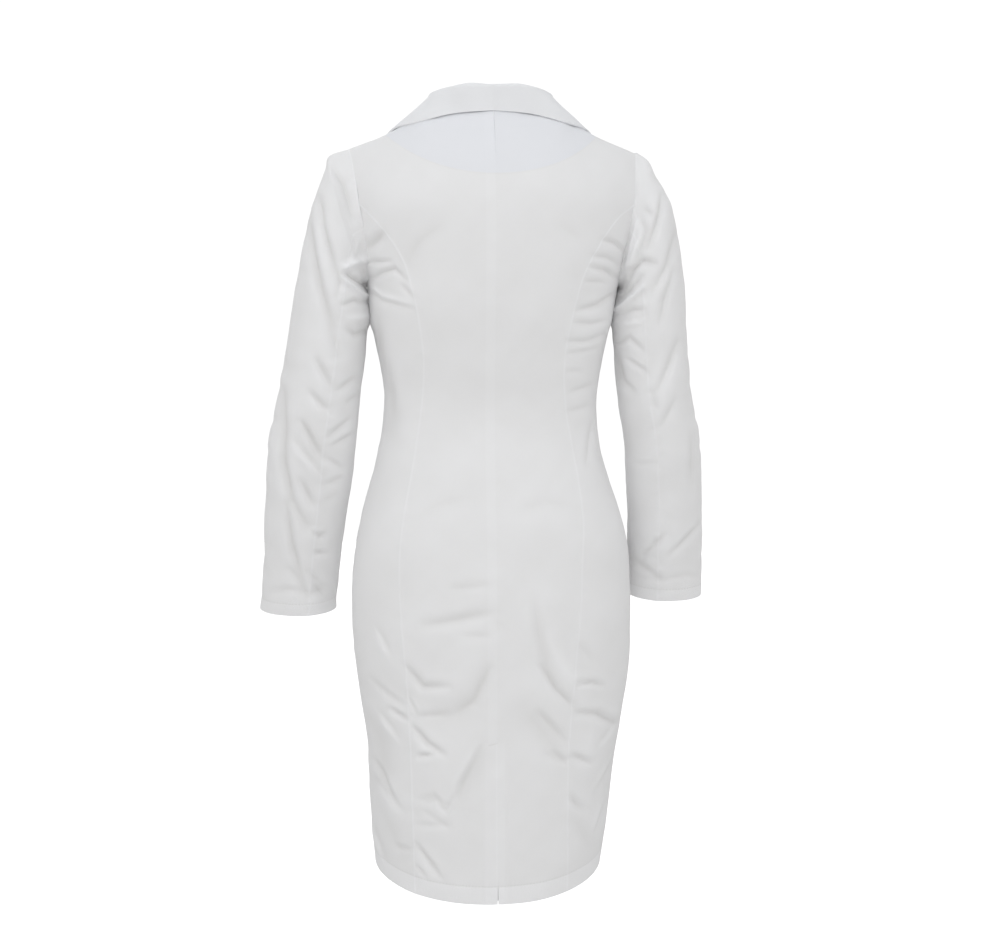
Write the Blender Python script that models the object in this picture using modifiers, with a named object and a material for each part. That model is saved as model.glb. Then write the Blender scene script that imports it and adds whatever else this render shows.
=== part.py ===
"""Office dress: a knee-length tailored dress with a notched collar, long two-piece sleeves,
princess seams and a back vent, in the hollow form that it has when it is worn.

The frame is in metres. +Z is up, the front faces -Y and the wearer's left is +X. The origin is
at the base of the neck, midway between the shoulders, where the wearer holds the dress up.
"""
import math
from collections import namedtuple

import bmesh
import bpy
from mathutils import Vector

# Cloth and seams
CLOTH = 0.0015
COLLAR_CLOTH = 0.0020
SEAM_GAP = 0.0005
SHOULDER_GAP = 0.0010
SLEEVE_GAP = 0.0009
ROUNDNESS = 2.3

# Sides and faces
LEFT, RIGHT = 1, -1
BACK, FRONT = 1, -1
SIDE_NAMES = {LEFT: "left", RIGHT: "right"}
FACE_NAMES = {BACK: "back", FRONT: "front"}

# Heights along the body
HEM = -0.975
UNDERARM_BASE = -0.230
UNDERARM = -0.205
SEAM_TOP = -0.104
BREAK_POINT = -0.300
VENT_TOP = -0.776

# The hem hangs lower at the middle of the back than at the sides
HEM_DIP = 0.016
HEM_DIP_REACH = 0.30

# Neck and shoulders
NECK_WIDTH = 0.080
NAPE = 0.012
SHOULDER_DROP = 0.120
SHOULDER_WIDTH = {LEFT: 0.181, RIGHT: 0.189}

# The princess seams leave their table above this height and run out into the armhole
SEAM_RUN_OUT = -0.160

# Armhole: how far it reaches round from the side, as a turn of the body's section
ARMHOLE_REACH = {BACK: 0.40, FRONT: 0.47}
ARMHOLE_GAP = 0.0016
ARMHOLE_SECTIONS = 3.0

# Fullness over the chest: its place, size and greatest depth
BUST_DISTANCE = 0.082
BUST_HEIGHT = -0.238
BUST_WIDTH = 0.058
BUST_LENGTH = 0.070
BUST_DEPTH = 0.014

# Front opening
OVERLAP = 0.018
OVERLAP_DEPTH = 0.0032
OVERLAP_FADE = 0.050
ROLL_TOP = (0.062, -0.050)

# Grid counts
HEIGHT_ROWS = 32
SHOULDER_ROWS = 6
SIDE_COLUMNS = 5
CENTRE_COLUMNS = {BACK: 8, FRONT: 6}
SLEEVE_ROWS = 22
UPPER_COLUMNS = 12
UNDER_COLUMNS = 6

Section = namedtuple("Section", "height left right back front")
SECTIONS = (
    Section(-1.000, 0.155, 0.145, 0.133, 0.118),
    Section(-0.970, 0.158, 0.148, 0.133, 0.118),
    Section(-0.900, 0.163, 0.157, 0.131, 0.118),
    Section(-0.850, 0.165, 0.163, 0.129, 0.118),
    Section(-0.800, 0.167, 0.170, 0.128, 0.118),
    Section(-0.750, 0.174, 0.178, 0.127, 0.118),
    Section(-0.700, 0.181, 0.184, 0.127, 0.119),
    Section(-0.650, 0.184, 0.185, 0.127, 0.120),
    Section(-0.600, 0.184, 0.184, 0.125, 0.120),
    Section(-0.550, 0.179, 0.181, 0.120, 0.119),
    Section(-0.500, 0.169, 0.168, 0.111, 0.114),
    Section(-0.450, 0.155, 0.152, 0.097, 0.107),
    Section(-0.400, 0.143, 0.140, 0.083, 0.100),
    Section(-0.350, 0.139, 0.138, 0.080, 0.098),
    Section(-0.300, 0.145, 0.146, 0.089, 0.106),
    Section(-0.250, 0.156, 0.155, 0.099, 0.121),
    Section(-0.205, 0.159, 0.164, 0.104, 0.130),
    Section(-0.150, 0.171, 0.181, 0.106, 0.126),
    Section(-0.100, 0.181, 0.193, 0.104, 0.108),
    Section(-0.036, 0.181, 0.189, 0.090, 0.076),
    Section(0.000, 0.181, 0.189, 0.077, 0.060),
    Section(0.040, 0.181, 0.189, 0.064, 0.046),
)

# Distance of each princess seam from the centre line
Seam = namedtuple("Seam", "height back_left back_right front")
SEAMS = (
    Seam(-1.000, 0.105, 0.092, 0.096),
    Seam(-0.800, 0.109, 0.092, 0.099),
    Seam(-0.700, 0.114, 0.099, 0.101),
    Seam(-0.620, 0.120, 0.106, 0.101),
    Seam(-0.560, 0.122, 0.109, 0.099),
    Seam(-0.500, 0.116, 0.111, 0.093),
    Seam(-0.420, 0.101, 0.101, 0.084),
    Seam(-0.360, 0.092, 0.091, 0.080),
    Seam(-0.300, 0.089, 0.088, 0.083),
    Seam(-0.230, 0.098, 0.100, 0.094),
    Seam(-0.190, 0.108, 0.112, 0.108),
    Seam(-0.165, 0.119, 0.125, 0.121),
    Seam(-0.140, 0.135, 0.141, 0.137),
    Seam(-0.120, 0.152, 0.158, 0.153),
    Seam(-0.104, 0.168, 0.180, 0.167),
)

# The shoulder seam: its height at each distance from the centre line
Ridge = namedtuple("Ridge", "distance height")
SHOULDER_LINE = (
    Ridge(0.000, 0.046),
    Ridge(0.080, 0.016),
    Ridge(0.128, -0.0135),
    Ridge(0.185, -0.0365),
)

# Main folds of the body: soft troughs from one place to another, as x and height
Fold = namedtuple("Fold", "face x1 z1 x2 z2 width depth")
FOLDS = (
    Fold(BACK, 0.100, -0.628, 0.014, -0.613, 0.020, 0.0030),
    Fold(BACK, 0.118, -0.688, 0.064, -0.707, 0.019, 0.0035),
    Fold(BACK, -0.050, -0.600, -0.062, -0.680, 0.019, 0.0035),
    Fold(BACK, -0.066, -0.690, -0.098, -0.735, 0.019, 0.0035),
    Fold(BACK, 0.108, -0.762, 0.066, -0.796, 0.019, 0.0035),
    Fold(BACK, 0.155, -0.824, 0.130, -0.864, 0.019, 0.0035),
    Fold(BACK, 0.101, -0.915, 0.074, -0.955, 0.019, 0.0030),
    Fold(BACK, -0.104, -0.238, -0.150, -0.220, 0.018, 0.0035),
    Fold(BACK, 0.150, -0.150, 0.124, -0.180, 0.018, 0.0040),
    Fold(FRONT, 0.112, -0.192, 0.150, -0.170, 0.019, 0.0040),
    Fold(FRONT, -0.112, -0.198, -0.154, -0.180, 0.019, 0.0040),
    Fold(FRONT, 0.030, -0.332, 0.104, -0.302, 0.018, 0.0030),
    Fold(FRONT, -0.034, -0.440, -0.112, -0.415, 0.019, 0.0030),
    Fold(FRONT, 0.046, -0.640, 0.118, -0.612, 0.020, 0.0035),
    Fold(FRONT, -0.042, -0.700, -0.122, -0.668, 0.020, 0.0035),
    Fold(FRONT, 0.052, -0.800, 0.112, -0.842, 0.019, 0.0035),
)

# Sleeve sections from the armhole to the cuff: the outer and inner end of each
Arm = namedtuple("Arm", "outer_x outer_z inner_x inner_z middle_y half_depth lean")
ARMS = {
    LEFT: (
        Arm(0.181, -0.038, 0.159, -0.205, 0.000, 0.050, 0.00),
        Arm(0.206, -0.046, 0.162, -0.210, 0.001, 0.054, 0.00),
        Arm(0.211, -0.062, 0.162, -0.217, 0.002, 0.057, 0.00),
        Arm(0.223, -0.092, 0.161, -0.226, 0.003, 0.058, 0.00),
        Arm(0.234, -0.131, 0.160, -0.238, 0.004, 0.058, 0.00),
        Arm(0.250, -0.203, 0.160, -0.262, 0.003, 0.057, 0.00),
        Arm(0.264, -0.281, 0.165, -0.305, 0.000, 0.056, 0.02),
        Arm(0.277, -0.347, 0.172, -0.358, -0.005, 0.055, 0.05),
        Arm(0.288, -0.393, 0.177, -0.400, -0.011, 0.054, 0.08),
        Arm(0.294, -0.440, 0.182, -0.445, -0.018, 0.051, 0.11),
        Arm(0.299, -0.510, 0.193, -0.512, -0.028, 0.045, 0.13),
        Arm(0.303, -0.572, 0.202, -0.573, -0.036, 0.038, 0.14),
        Arm(0.310, -0.638, 0.208, -0.638, -0.044, 0.033, 0.15),
    ),
    RIGHT: (
        Arm(0.189, -0.034, 0.164, -0.205, 0.000, 0.050, 0.00),
        Arm(0.203, -0.045, 0.167, -0.210, 0.001, 0.054, 0.00),
        Arm(0.212, -0.064, 0.166, -0.217, 0.002, 0.057, 0.00),
        Arm(0.224, -0.086, 0.164, -0.226, 0.003, 0.058, 0.00),
        Arm(0.237, -0.119, 0.162, -0.238, 0.004, 0.058, 0.00),
        Arm(0.251, -0.203, 0.160, -0.262, 0.003, 0.057, 0.00),
        Arm(0.257, -0.275, 0.163, -0.303, 0.000, 0.056, 0.02),
        Arm(0.265, -0.346, 0.169, -0.355, -0.005, 0.055, 0.05),
        Arm(0.276, -0.396, 0.177, -0.400, -0.011, 0.054, 0.08),
        Arm(0.283, -0.450, 0.183, -0.452, -0.019, 0.050, 0.11),
        Arm(0.287, -0.515, 0.187, -0.515, -0.028, 0.044, 0.13),
        Arm(0.290, -0.573, 0.189, -0.571, -0.036, 0.038, 0.14),
        Arm(0.291, -0.626, 0.191, -0.624, -0.043, 0.034, 0.15),
    ),
}
ARM_RADIUS = 0.052

# Turn of each sleeve seam from the inner side of the arm
BACK_SEAM_TURN = 1.27
BACK_SEAM_TURN_TOP = 1.80
BACK_SEAM_SETTLE = 3.0
FRONT_SEAM_TURN = -0.75

# Main folds of each sleeve: soft troughs from one place to another, as turn and height
SleeveFold = namedtuple("SleeveFold", "turn1 z1 turn2 z2 width depth")
SLEEVE_FOLDS = {
    LEFT: (
        SleeveFold(2.60, -0.120, 1.90, -0.215, 0.017, 0.0040),
        SleeveFold(2.55, -0.347, 1.90, -0.450, 0.016, 0.0045),
        SleeveFold(2.05, -0.500, 1.50, -0.590, 0.016, 0.0045),
        SleeveFold(0.90, -0.350, 0.30, -0.330, 0.016, 0.0030),
        SleeveFold(4.40, -0.330, 5.10, -0.380, 0.017, 0.0040),
        SleeveFold(4.20, -0.440, 5.00, -0.410, 0.017, 0.0040),
    ),
    RIGHT: (
        SleeveFold(2.65, -0.145, 1.67, -0.215, 0.017, 0.0040),
        SleeveFold(2.50, -0.285, 1.67, -0.350, 0.016, 0.0040),
        SleeveFold(2.60, -0.540, 1.70, -0.585, 0.016, 0.0040),
        SleeveFold(1.40, -0.340, 0.75, -0.360, 0.016, 0.0030),
        SleeveFold(4.40, -0.345, 5.10, -0.385, 0.017, 0.0040),
        SleeveFold(4.20, -0.440, 5.00, -0.410, 0.017, 0.0040),
    ),
}

# Collar, from the middle of the back round to its front end: its roll and its lower edge
Collar = namedtuple("Collar", "roll_x roll_y roll_z edge_x edge_y edge_z")
COLLAR = (
    Collar(0.000, 0.052, 0.041, 0.000, 0.066, 0.009),
    Collar(0.038, 0.046, 0.041, 0.049, 0.060, 0.006),
    Collar(0.067, 0.025, 0.036, 0.095, 0.041, -0.003),
    Collar(0.077, -0.006, 0.030, 0.126, 0.002, -0.007),
    Collar(0.0745, -0.043, -0.002, 0.135, -0.029, -0.026),
    Collar(0.064, -0.079, -0.046, 0.128, -0.058, -0.056),
)
COLLAR_STEPS = 14
ROLL_RADIUS = 0.0040
ROLL_RADIUS_END = 0.0026
STAND_STEPS = 2
ROLL_STEPS = 3
FALL_STEPS = 5
STAND_GAP = 0.0024
COLLAR_CLEAR = 0.0042
NOTCH = (0.100, -0.0740)
NOTCH_STEP = 3
NOTCH_REACH = 0.78

# Lapels, as distances from the centre line and heights on the front
LAPEL_POINT = (0.135, -0.100)
LAPEL_BULGE = (0.106, -0.205)
LAPEL_FOOT = {LEFT: -0.232, RIGHT: -0.285}
LAPEL_FOOT_EDGE = {LEFT: (0.018, -0.262), RIGHT: (0.004, -0.297)}
LAPEL_COLUMNS = 5
LAPEL_ROWS = 9
LAPEL_LIFT = 0.0024
LAPEL_SWELL = 0.0030
LAPEL_EDGE_LIFT = 0.0020

# Vent
VENT_LEFT = 0.020
VENT_RIGHT = -0.014
VENT_DEPTH = 0.0030
VENT_RISE = 0.004
VENT_COLUMNS = 3
VENT_ROWS = 8

# Buttons
BUTTON_TOP = -0.312
BUTTON_PITCH = 0.105
BUTTON_COUNT = 5
BUTTON_SIDES = 12
BUTTON_LIFT = 0.0026
Turned = namedtuple("Turned", "radius height")
BUTTON_PROFILE = (
    Turned(0.0, 0.0010),
    Turned(0.0062, 0.0010),
    Turned(0.0080, 0.0018),
    Turned(0.0100, 0.0006),
    Turned(0.0088, -0.0010),
    Turned(0.0, -0.0010),
)

SUITING = (0.86, 0.86, 0.87)
SUITING_ROUGHNESS = 0.72
BUTTON_COLOUR = (0.90, 0.89, 0.87)
BUTTON_ROUGHNESS = 0.30


def clamp(value):
    """Value held between 0 and 1."""
    return min(1.0, max(0.0, value))


def ease(value):
    """Smooth step from 0 to 1."""
    held = clamp(value)
    return held * held * (3.0 - 2.0 * held)


def mix(first, second, share):
    """Straight blend of two numbers or vectors."""
    return first + (second - first) * share


def power(value, exponent):
    """Power that keeps the sign."""
    return math.copysign(abs(value) ** exponent, value)


def slope(keys, values, index):
    """Slope of a table at one row, from the rows on each side."""
    low = max(index - 1, 0)
    high = min(index + 1, len(keys) - 1)
    return (values[high] - values[low]) / (keys[high] - keys[low])


def smooth_value(keys, values, key):
    """Smooth curve through a table's rows, read at one key."""
    held = min(max(key, keys[0]), keys[-1])
    index = 0
    while index < len(keys) - 2 and held > keys[index + 1]:
        index += 1
    span = keys[index + 1] - keys[index]
    share = (held - keys[index]) / span
    start = slope(keys, values, index) * span
    end = slope(keys, values, index + 1) * span
    square, cube = share ** 2, share ** 3
    return (
        (2 * cube - 3 * square + 1) * values[index]
        + (cube - 2 * square + share) * start
        + (3 * square - 2 * cube) * values[index + 1]
        + (cube - square) * end
    )


def column(table, name):
    """One named column of a table."""
    return [getattr(row, name) for row in table]


def trough(x, z, x1, z1, x2, z2, width, depth):
    """Depth of one fold at a place, from the distance to its line."""
    run, rise = x2 - x1, z2 - z1
    share = clamp(((x - x1) * run + (z - z1) * rise) / (run * run + rise * rise))
    distance = math.hypot(x - x1 - run * share, z - z1 - rise * share)
    return depth * math.exp(-((distance / width) ** 2))


def body_size(name, height):
    """One size of the body's section at a height."""
    return smooth_value(column(SECTIONS, "height"), column(SECTIONS, name), height)


def half_width(side, height):
    """Distance of the side seam from the centre line."""
    return body_size(SIDE_NAMES[side], height)


def ridge(distance):
    """Height of the shoulder seam at a distance from the centre line."""
    return smooth_value(column(SHOULDER_LINE, "distance"), column(SHOULDER_LINE, "height"), abs(distance))


def turn_at(side, distance, height):
    """Turn round the section, from the side seam, of a point at a distance from the centre."""
    share = distance / half_width(side, height)
    return math.acos(max(-1.0, min(1.0, power(share, ROUNDNESS / 2.0))))


def distance_at(side, turn, height):
    """Distance from the centre line of a point at a turn round the section."""
    return half_width(side, height) * power(math.cos(turn), 2.0 / ROUNDNESS)


def shoulder_share(distance, height):
    """Share of the full depth that is left at a height below the shoulder seam."""
    rest = 1.0 - clamp((ridge(distance) - height) / SHOULDER_DROP)
    return math.sqrt(1.0 - rest * rest)


def bust(face, distance, height):
    """Fullness that the front seams give over the chest."""
    if face == BACK:
        return 0.0
    across = (abs(distance) - BUST_DISTANCE) / BUST_WIDTH
    along = (height - BUST_HEIGHT) / BUST_LENGTH
    return BUST_DEPTH * math.exp(-across * across - along * along)


def body_fold(face, x, z):
    """Depth of the body's folds at a place."""
    return sum(trough(x, z, *fold[1:]) for fold in FOLDS if fold.face == face)


def on_body(side, face, turn, height, lift=0.0):
    """Point of the body's cloth at a turn and height, moved out by lift."""
    distance = distance_at(side, turn, height)
    round_off = abs(math.sin(turn)) ** (2.0 / ROUNDNESS)
    depth = body_size(FACE_NAMES[face], height) * round_off
    depth = (depth + bust(face, distance, height) * round_off) * shoulder_share(distance, height)
    outward = Vector((side * math.cos(turn), face * math.sin(turn), 0.0))
    point = Vector((side * distance, face * depth, height))
    return point + outward * (lift - body_fold(face, side * distance, height))


def on_body_at(side, face, distance, height, lift=0.0):
    """Point of the body's cloth at a distance from the centre line."""
    return on_body(side, face, turn_at(side, distance, height), height, lift)


def body_normal(side, face, distance, height):
    """Outward direction of the body's cloth at a distance and height."""
    step = 0.004
    across = on_body_at(side, face, distance + step, height) - on_body_at(side, face, distance - step, height)
    along = on_body_at(side, face, distance, height + step) - on_body_at(side, face, distance, height - step)
    return (across.cross(along) * (side * -face)).normalized()


def armhole_height(angle):
    """Height of the armhole's edge at an angle round it. 0 is the underarm, a half turn the top."""
    return mix(UNDERARM, ridge(SHOULDER_WIDTH[LEFT]), (1.0 - math.cos(angle)) / 2.0)


def armhole_angle(height):
    """Angle round the armhole at a height."""
    share = clamp((height - UNDERARM) / (ridge(SHOULDER_WIDTH[LEFT]) - UNDERARM))
    return math.acos(1.0 - 2.0 * share)


def armhole_turn(face, height):
    """Turn of the armhole's edge at a height."""
    return ARMHOLE_REACH[face] * math.sin(armhole_angle(height))


def armhole_distance(side, face, height):
    """Distance of the armhole's edge from the centre line."""
    return distance_at(side, armhole_turn(face, height), height)


def princess_distance(side, face, height):
    """Distance of the princess seam from the centre line. It runs out into the armhole."""
    name = "front" if face == FRONT else f"back_{SIDE_NAMES[side]}"
    distance = smooth_value(column(SEAMS, "height"), column(SEAMS, name), height)
    miss = armhole_distance(side, face, SEAM_TOP) - column(SEAMS, name)[-1]
    return distance + miss * ease((height - SEAM_RUN_OUT) / (SEAM_TOP - SEAM_RUN_OUT))


def princess_turn(side, face, height):
    """Turn of the princess seam at a height."""
    return turn_at(side, princess_distance(side, face, height), height)


def front_edge(height):
    """Distance of a front panel's edge from the centre line. It is negative past the centre."""
    share = (height - BREAK_POINT) / (ROLL_TOP[1] - BREAK_POINT)
    return -OVERLAP + (ROLL_TOP[0] + OVERLAP) * max(0.0, share)


def hem_drop(face, turn, height):
    """How far the rows near the hem hang below their height at the side."""
    if face == FRONT:
        return 0.0
    return HEM_DIP * math.sin(turn) ** 2 * (1.0 - ease((height - HEM) / HEM_DIP_REACH))


def neckline(distance):
    """Height of the back neck edge at a distance from the centre line."""
    return mix(NAPE, ridge(NECK_WIDTH), (distance / NECK_WIDTH) ** 3)


def row_height(row):
    """Height of one of the rows between the hem and the top of the princess seams."""
    return mix(HEM, SEAM_TOP, row / HEIGHT_ROWS)


def lower_lift(side, face, distance):
    """How far the under front lies inside the other where they overlap."""
    if face == BACK or side == RIGHT:
        return 0.0
    return -OVERLAP_DEPTH * (1.0 - ease((distance - OVERLAP) / OVERLAP_FADE))


def centre_turn(side, face, across, height):
    """Turn of a point of a centre panel below the top of the princess seam."""
    inner = 0.0 if face == BACK else front_edge(height)
    return mix(turn_at(side, inner, height), princess_turn(side, face, height), across)


def shoulder_share_across(side, face, across):
    """Share of the way to the shoulder's tip at the top of a centre panel."""
    if face == FRONT:
        return across
    neck = NECK_WIDTH / SHOULDER_WIDTH[side]
    return 2.0 * across * neck if across < 0.5 else mix(neck, 1.0, 2.0 * across - 1.0)


def centre_point(side, face, across, row):
    """Point of a centre panel. across runs from its inner edge to the princess seam."""
    if row <= HEIGHT_ROWS:
        height = row_height(row)
        turn = centre_turn(side, face, across, height)
        lift = lower_lift(side, face, distance_at(side, turn, height))
        return on_body(side, face, turn, height - hem_drop(face, turn, height), lift)
    rise = 1.0 - (1.0 - (row - HEIGHT_ROWS) / SHOULDER_ROWS) ** 2
    tip = SHOULDER_WIDTH[side]
    start = 0.0 if face == BACK else front_edge(SEAM_TOP)
    end = princess_distance(side, face, SEAM_TOP)
    low = (distance_at(side, centre_turn(side, face, across, SEAM_TOP), SEAM_TOP) - start) / (end - start)
    high = shoulder_share_across(side, face, across)
    if face == BACK:
        inner = 0.0
        summit = neckline(high * tip) if across < 0.5 else ridge(high * tip)
    else:
        inner = front_edge(mix(SEAM_TOP, ridge(NECK_WIDTH), rise))
        summit = ridge(mix(NECK_WIDTH, tip, high))
    edge_height = mix(SEAM_TOP, ridge(tip), rise)
    distance = mix(inner, armhole_distance(side, face, edge_height), mix(low, high, rise))
    height = mix(SEAM_TOP, summit, rise)
    return on_body_at(side, face, distance, height, lower_lift(side, face, distance))


def side_point(side, face, across, row):
    """Point of a side panel. across runs from the princess seam to the side seam."""
    height = row_height(row)
    top_height = armhole_height(armhole_angle(SEAM_TOP) * (1.0 - across))
    rise = clamp((height - UNDERARM_BASE) / (SEAM_TOP - UNDERARM_BASE))
    if rise > 0.0:
        height = mix(UNDERARM_BASE, top_height, rise)
    turn = princess_turn(side, face, height) * (1.0 - across)
    miss = armhole_turn(face, top_height) - princess_turn(side, face, top_height) * (1.0 - across)
    turn += rise ** 2 * miss
    return on_body(side, face, turn, height - hem_drop(face, turn, height))


def finish(name, colour, roughness):
    """Plain material for one sub-part."""
    material = bpy.data.materials.new(name)
    material.use_nodes = True
    shader = material.node_tree.nodes["Principled BSDF"]
    shader.inputs["Base Color"].default_value = (*colour, 1.0)
    shader.inputs["Roughness"].default_value = roughness
    shader.inputs["Metallic"].default_value = 0.0
    return material


def add_object(name, mesh, collection, colour=SUITING, roughness=SUITING_ROUGHNESS):
    """Object of one sub-part, in the dress's collection."""
    part = bpy.data.objects.new(name, mesh)
    mesh.materials.append(finish(name, colour, roughness))
    collection.objects.link(part)
    return part


def inward(point, inside, before, after, distance):
    """Step from a point of a sheet's edge into the sheet, square to the edge."""
    edge = after - before
    step = inside - point
    step -= edge * (step.dot(edge) / edge.length_squared)
    return step.normalized() * distance


def pulled_in(place, across, along, step_across, step_along, gap, top_gap):
    """Point of a sheet, with the sheet's edges pulled in by half a seam gap."""
    point = place(across, along)
    moved = Vector(point)
    left, right = max(0.0, across - step_across), min(1.0, across + step_across)
    below, above = max(0.0, along - step_along), min(1.0, along + step_along)
    if across in (0.0, 1.0):
        inside = place(right if across == 0.0 else left, along)
        moved += inward(point, inside, place(across, below), place(across, above), gap / 2.0)
    if along in (0.0, 1.0):
        inside = place(across, above if along == 0.0 else below)
        end_gap = top_gap if along == 1.0 else gap
        moved += inward(point, inside, place(left, along), place(right, along), end_gap / 2.0)
    return moved


def sheet(name, columns, rows, place, collection, cloth=CLOTH, gap=SEAM_GAP, top_gap=SEAM_GAP):
    """Sheet of cloth: a grid laid on the points of place, given the cloth's thickness."""
    grid = bmesh.new()
    bmesh.ops.create_grid(grid, x_segments=columns, y_segments=rows, size=0.5)
    for vertex in grid.verts:
        across = round((vertex.co.x + 0.5) * columns) / columns
        along = round((vertex.co.y + 0.5) * rows) / rows
        vertex.co = pulled_in(place, across, along, 1.0 / columns, 1.0 / rows, gap, top_gap)
    mesh = bpy.data.meshes.new(name)
    grid.to_mesh(mesh)
    grid.free()
    part = add_object(name, mesh, collection)
    wall = part.modifiers.new("cloth", "SOLIDIFY")
    wall.thickness = cloth
    wall.offset = 0.0
    return part


def build_body(collection):
    """The eight panels of the body."""
    rows = HEIGHT_ROWS + SHOULDER_ROWS
    for side, side_name in SIDE_NAMES.items():
        for face, face_name in FACE_NAMES.items():
            def centre(across, along, side=side, face=face):
                return centre_point(side, face, across, along * rows)

            def side_panel(across, along, side=side, face=face):
                return side_point(side, face, across, along * HEIGHT_ROWS)

            name = f"{face_name}_{side_name}"
            sheet(name, CENTRE_COLUMNS[face], rows, centre, collection, top_gap=SHOULDER_GAP)
            sheet(f"side_{name}", SIDE_COLUMNS, HEIGHT_ROWS, side_panel, collection)


def arm_value(side, name, along):
    """One size of the sleeve's sections, along from the armhole to the cuff."""
    table = ARMS[side]
    return smooth_value(range(len(table)), column(table, name), along * (len(table) - 1))


def arm_section(side, turn, along):
    """Point of the sleeve's plain section. Turn 0 is the inner side, a half turn the outer."""
    outer = Vector((side * arm_value(side, "outer_x", along), 0.0, arm_value(side, "outer_z", along)))
    inner = Vector((side * arm_value(side, "inner_x", along), 0.0, arm_value(side, "inner_z", along)))
    half = (outer - inner) / 2.0
    back = arm_value(side, "half_depth", along) * math.sin(turn)
    point = (outer + inner) / 2.0 - half * math.cos(turn)
    point.y = arm_value(side, "middle_y", along) + back
    point.z -= arm_value(side, "lean", along) * back
    outward = half.normalized() * -math.cos(turn)
    outward.y = math.sin(turn)
    fold = sum(trough(turn * ARM_RADIUS, point.z, row.turn1 * ARM_RADIUS, row.z1, row.turn2 * ARM_RADIUS,
                      row.z2, row.width, row.depth) for row in SLEEVE_FOLDS[side])
    return point - outward * fold


def armhole_point(side, turn):
    """Point of the armhole's edge. Turn 0 is the underarm, a half turn the shoulder."""
    height = armhole_height(turn)
    face = BACK if math.sin(turn) >= 0.0 else FRONT
    return on_body(side, face, armhole_turn(face, height), height)


def sleeve_point(side, turn, along):
    """Point of the sleeve. Its first rows take the armhole's own shape."""
    point = arm_section(side, turn, along)
    near = 1.0 - ease(along * (len(ARMS[side]) - 1) / ARMHOLE_SECTIONS)
    if near > 0.0:
        point += (armhole_point(side, turn) - arm_section(side, turn, 0.0)) * near
        point.x += side * ARMHOLE_GAP * near
    return point


def back_seam_turn(along):
    """Turn of the sleeve's back seam. It starts higher, where the princess seam ends."""
    return mix(BACK_SEAM_TURN_TOP, BACK_SEAM_TURN, ease(along * BACK_SEAM_SETTLE))


def build_sleeves(collection):
    """The upper and under piece of each sleeve."""
    for side, side_name in SIDE_NAMES.items():
        def upper(across, along, side=side):
            turn = mix(back_seam_turn(along), 2.0 * math.pi + FRONT_SEAM_TURN, across)
            return sleeve_point(side, turn, along)

        def under(across, along, side=side):
            return sleeve_point(side, mix(FRONT_SEAM_TURN, back_seam_turn(along), across), along)

        sheet(f"sleeve_upper_{side_name}", UPPER_COLUMNS, SLEEVE_ROWS, upper, collection,
              gap=SLEEVE_GAP)
        sheet(f"sleeve_under_{side_name}", UNDER_COLUMNS, SLEEVE_ROWS, under, collection,
              gap=SLEEVE_GAP)


def collar_line(name, along):
    """Point of the collar's roll or edge line, along from the middle of the back to the end."""
    keys = range(len(COLLAR))
    return Vector([
        smooth_value(keys, column(COLLAR, f"{name}_{axis}"), along * (len(COLLAR) - 1)) for axis in "xyz"
    ])


def neck_point(along):
    """Foot of the stand, from the nape over the shoulder and down the front to the roll's top."""
    if along <= 0.5:
        distance = NECK_WIDTH * math.sin(along * math.pi)
        return on_body_at(LEFT, BACK, distance, neckline(distance)) + Vector((0.0, 0.0, STAND_GAP))
    share = along * 2.0 - 1.0
    height = mix(ridge(NECK_WIDTH), ROLL_TOP[1], share)
    point = on_body_at(LEFT, FRONT, front_edge(height), height)
    return point + Vector((-STAND_GAP * share, 0.0, STAND_GAP * (1.0 - share)))


def clear_of_front(point):
    """The point, moved forward where it would come closer than the collar's clearance."""
    if point.y < 0.0 and point.z < ridge(point.x):
        surfaces = [on_body_at(side, FRONT, point.x, point.z).y for side in SIDE_NAMES]
        point.y = min(point.y, min(surfaces) - COLLAR_CLEAR)
    return point


def collar_point(across, along):
    """Point of the collar on the wearer's left. across runs up the stand and down the fall."""
    roll, edge = collar_line("roll", along), collar_line("edge", along)
    outward = Vector((edge.x - roll.x, edge.y - roll.y, 0.0)).normalized()
    step = 0.01
    run = collar_line("roll", min(1.0, along + step)) - collar_line("roll", max(0.0, along - step))
    crest = run.cross(outward).normalized()
    radius = mix(ROLL_RADIUS, ROLL_RADIUS_END, ease(along))
    centre = roll - crest * radius
    place = across * (STAND_STEPS + ROLL_STEPS + FALL_STEPS)
    if place < STAND_STEPS:
        return mix(neck_point(along), centre - outward * radius, place / STAND_STEPS)
    place -= STAND_STEPS
    if place < ROLL_STEPS:
        angle = math.pi * (1.0 - place / ROLL_STEPS)
        return centre + (outward * math.cos(angle) + crest * math.sin(angle)) * radius
    place -= ROLL_STEPS
    start = centre + outward * radius
    point = mix(start, edge, place / FALL_STEPS)
    if place <= NOTCH_STEP:
        dip = place / NOTCH_STEP
    else:
        dip = (FALL_STEPS - place) / (FALL_STEPS - NOTCH_STEP)
    notch = Vector((NOTCH[0], edge.y, NOTCH[1]))
    plain = mix(start, edge, NOTCH_STEP / FALL_STEPS)
    point += (notch - plain) * dip * ease((along - NOTCH_REACH) / (1.0 - NOTCH_REACH))
    return clear_of_front(point)


def build_collar(collection):
    """The collar, whole, from its right end round the back to its left end."""
    def place(across, along):
        share = along * 2.0 - 1.0
        point = collar_point(across, abs(share))
        return Vector((math.copysign(point.x, share), point.y, point.z))

    steps = STAND_STEPS + ROLL_STEPS + FALL_STEPS
    sheet("collar", steps, 2 * COLLAR_STEPS, place, collection, COLLAR_CLOTH)


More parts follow.
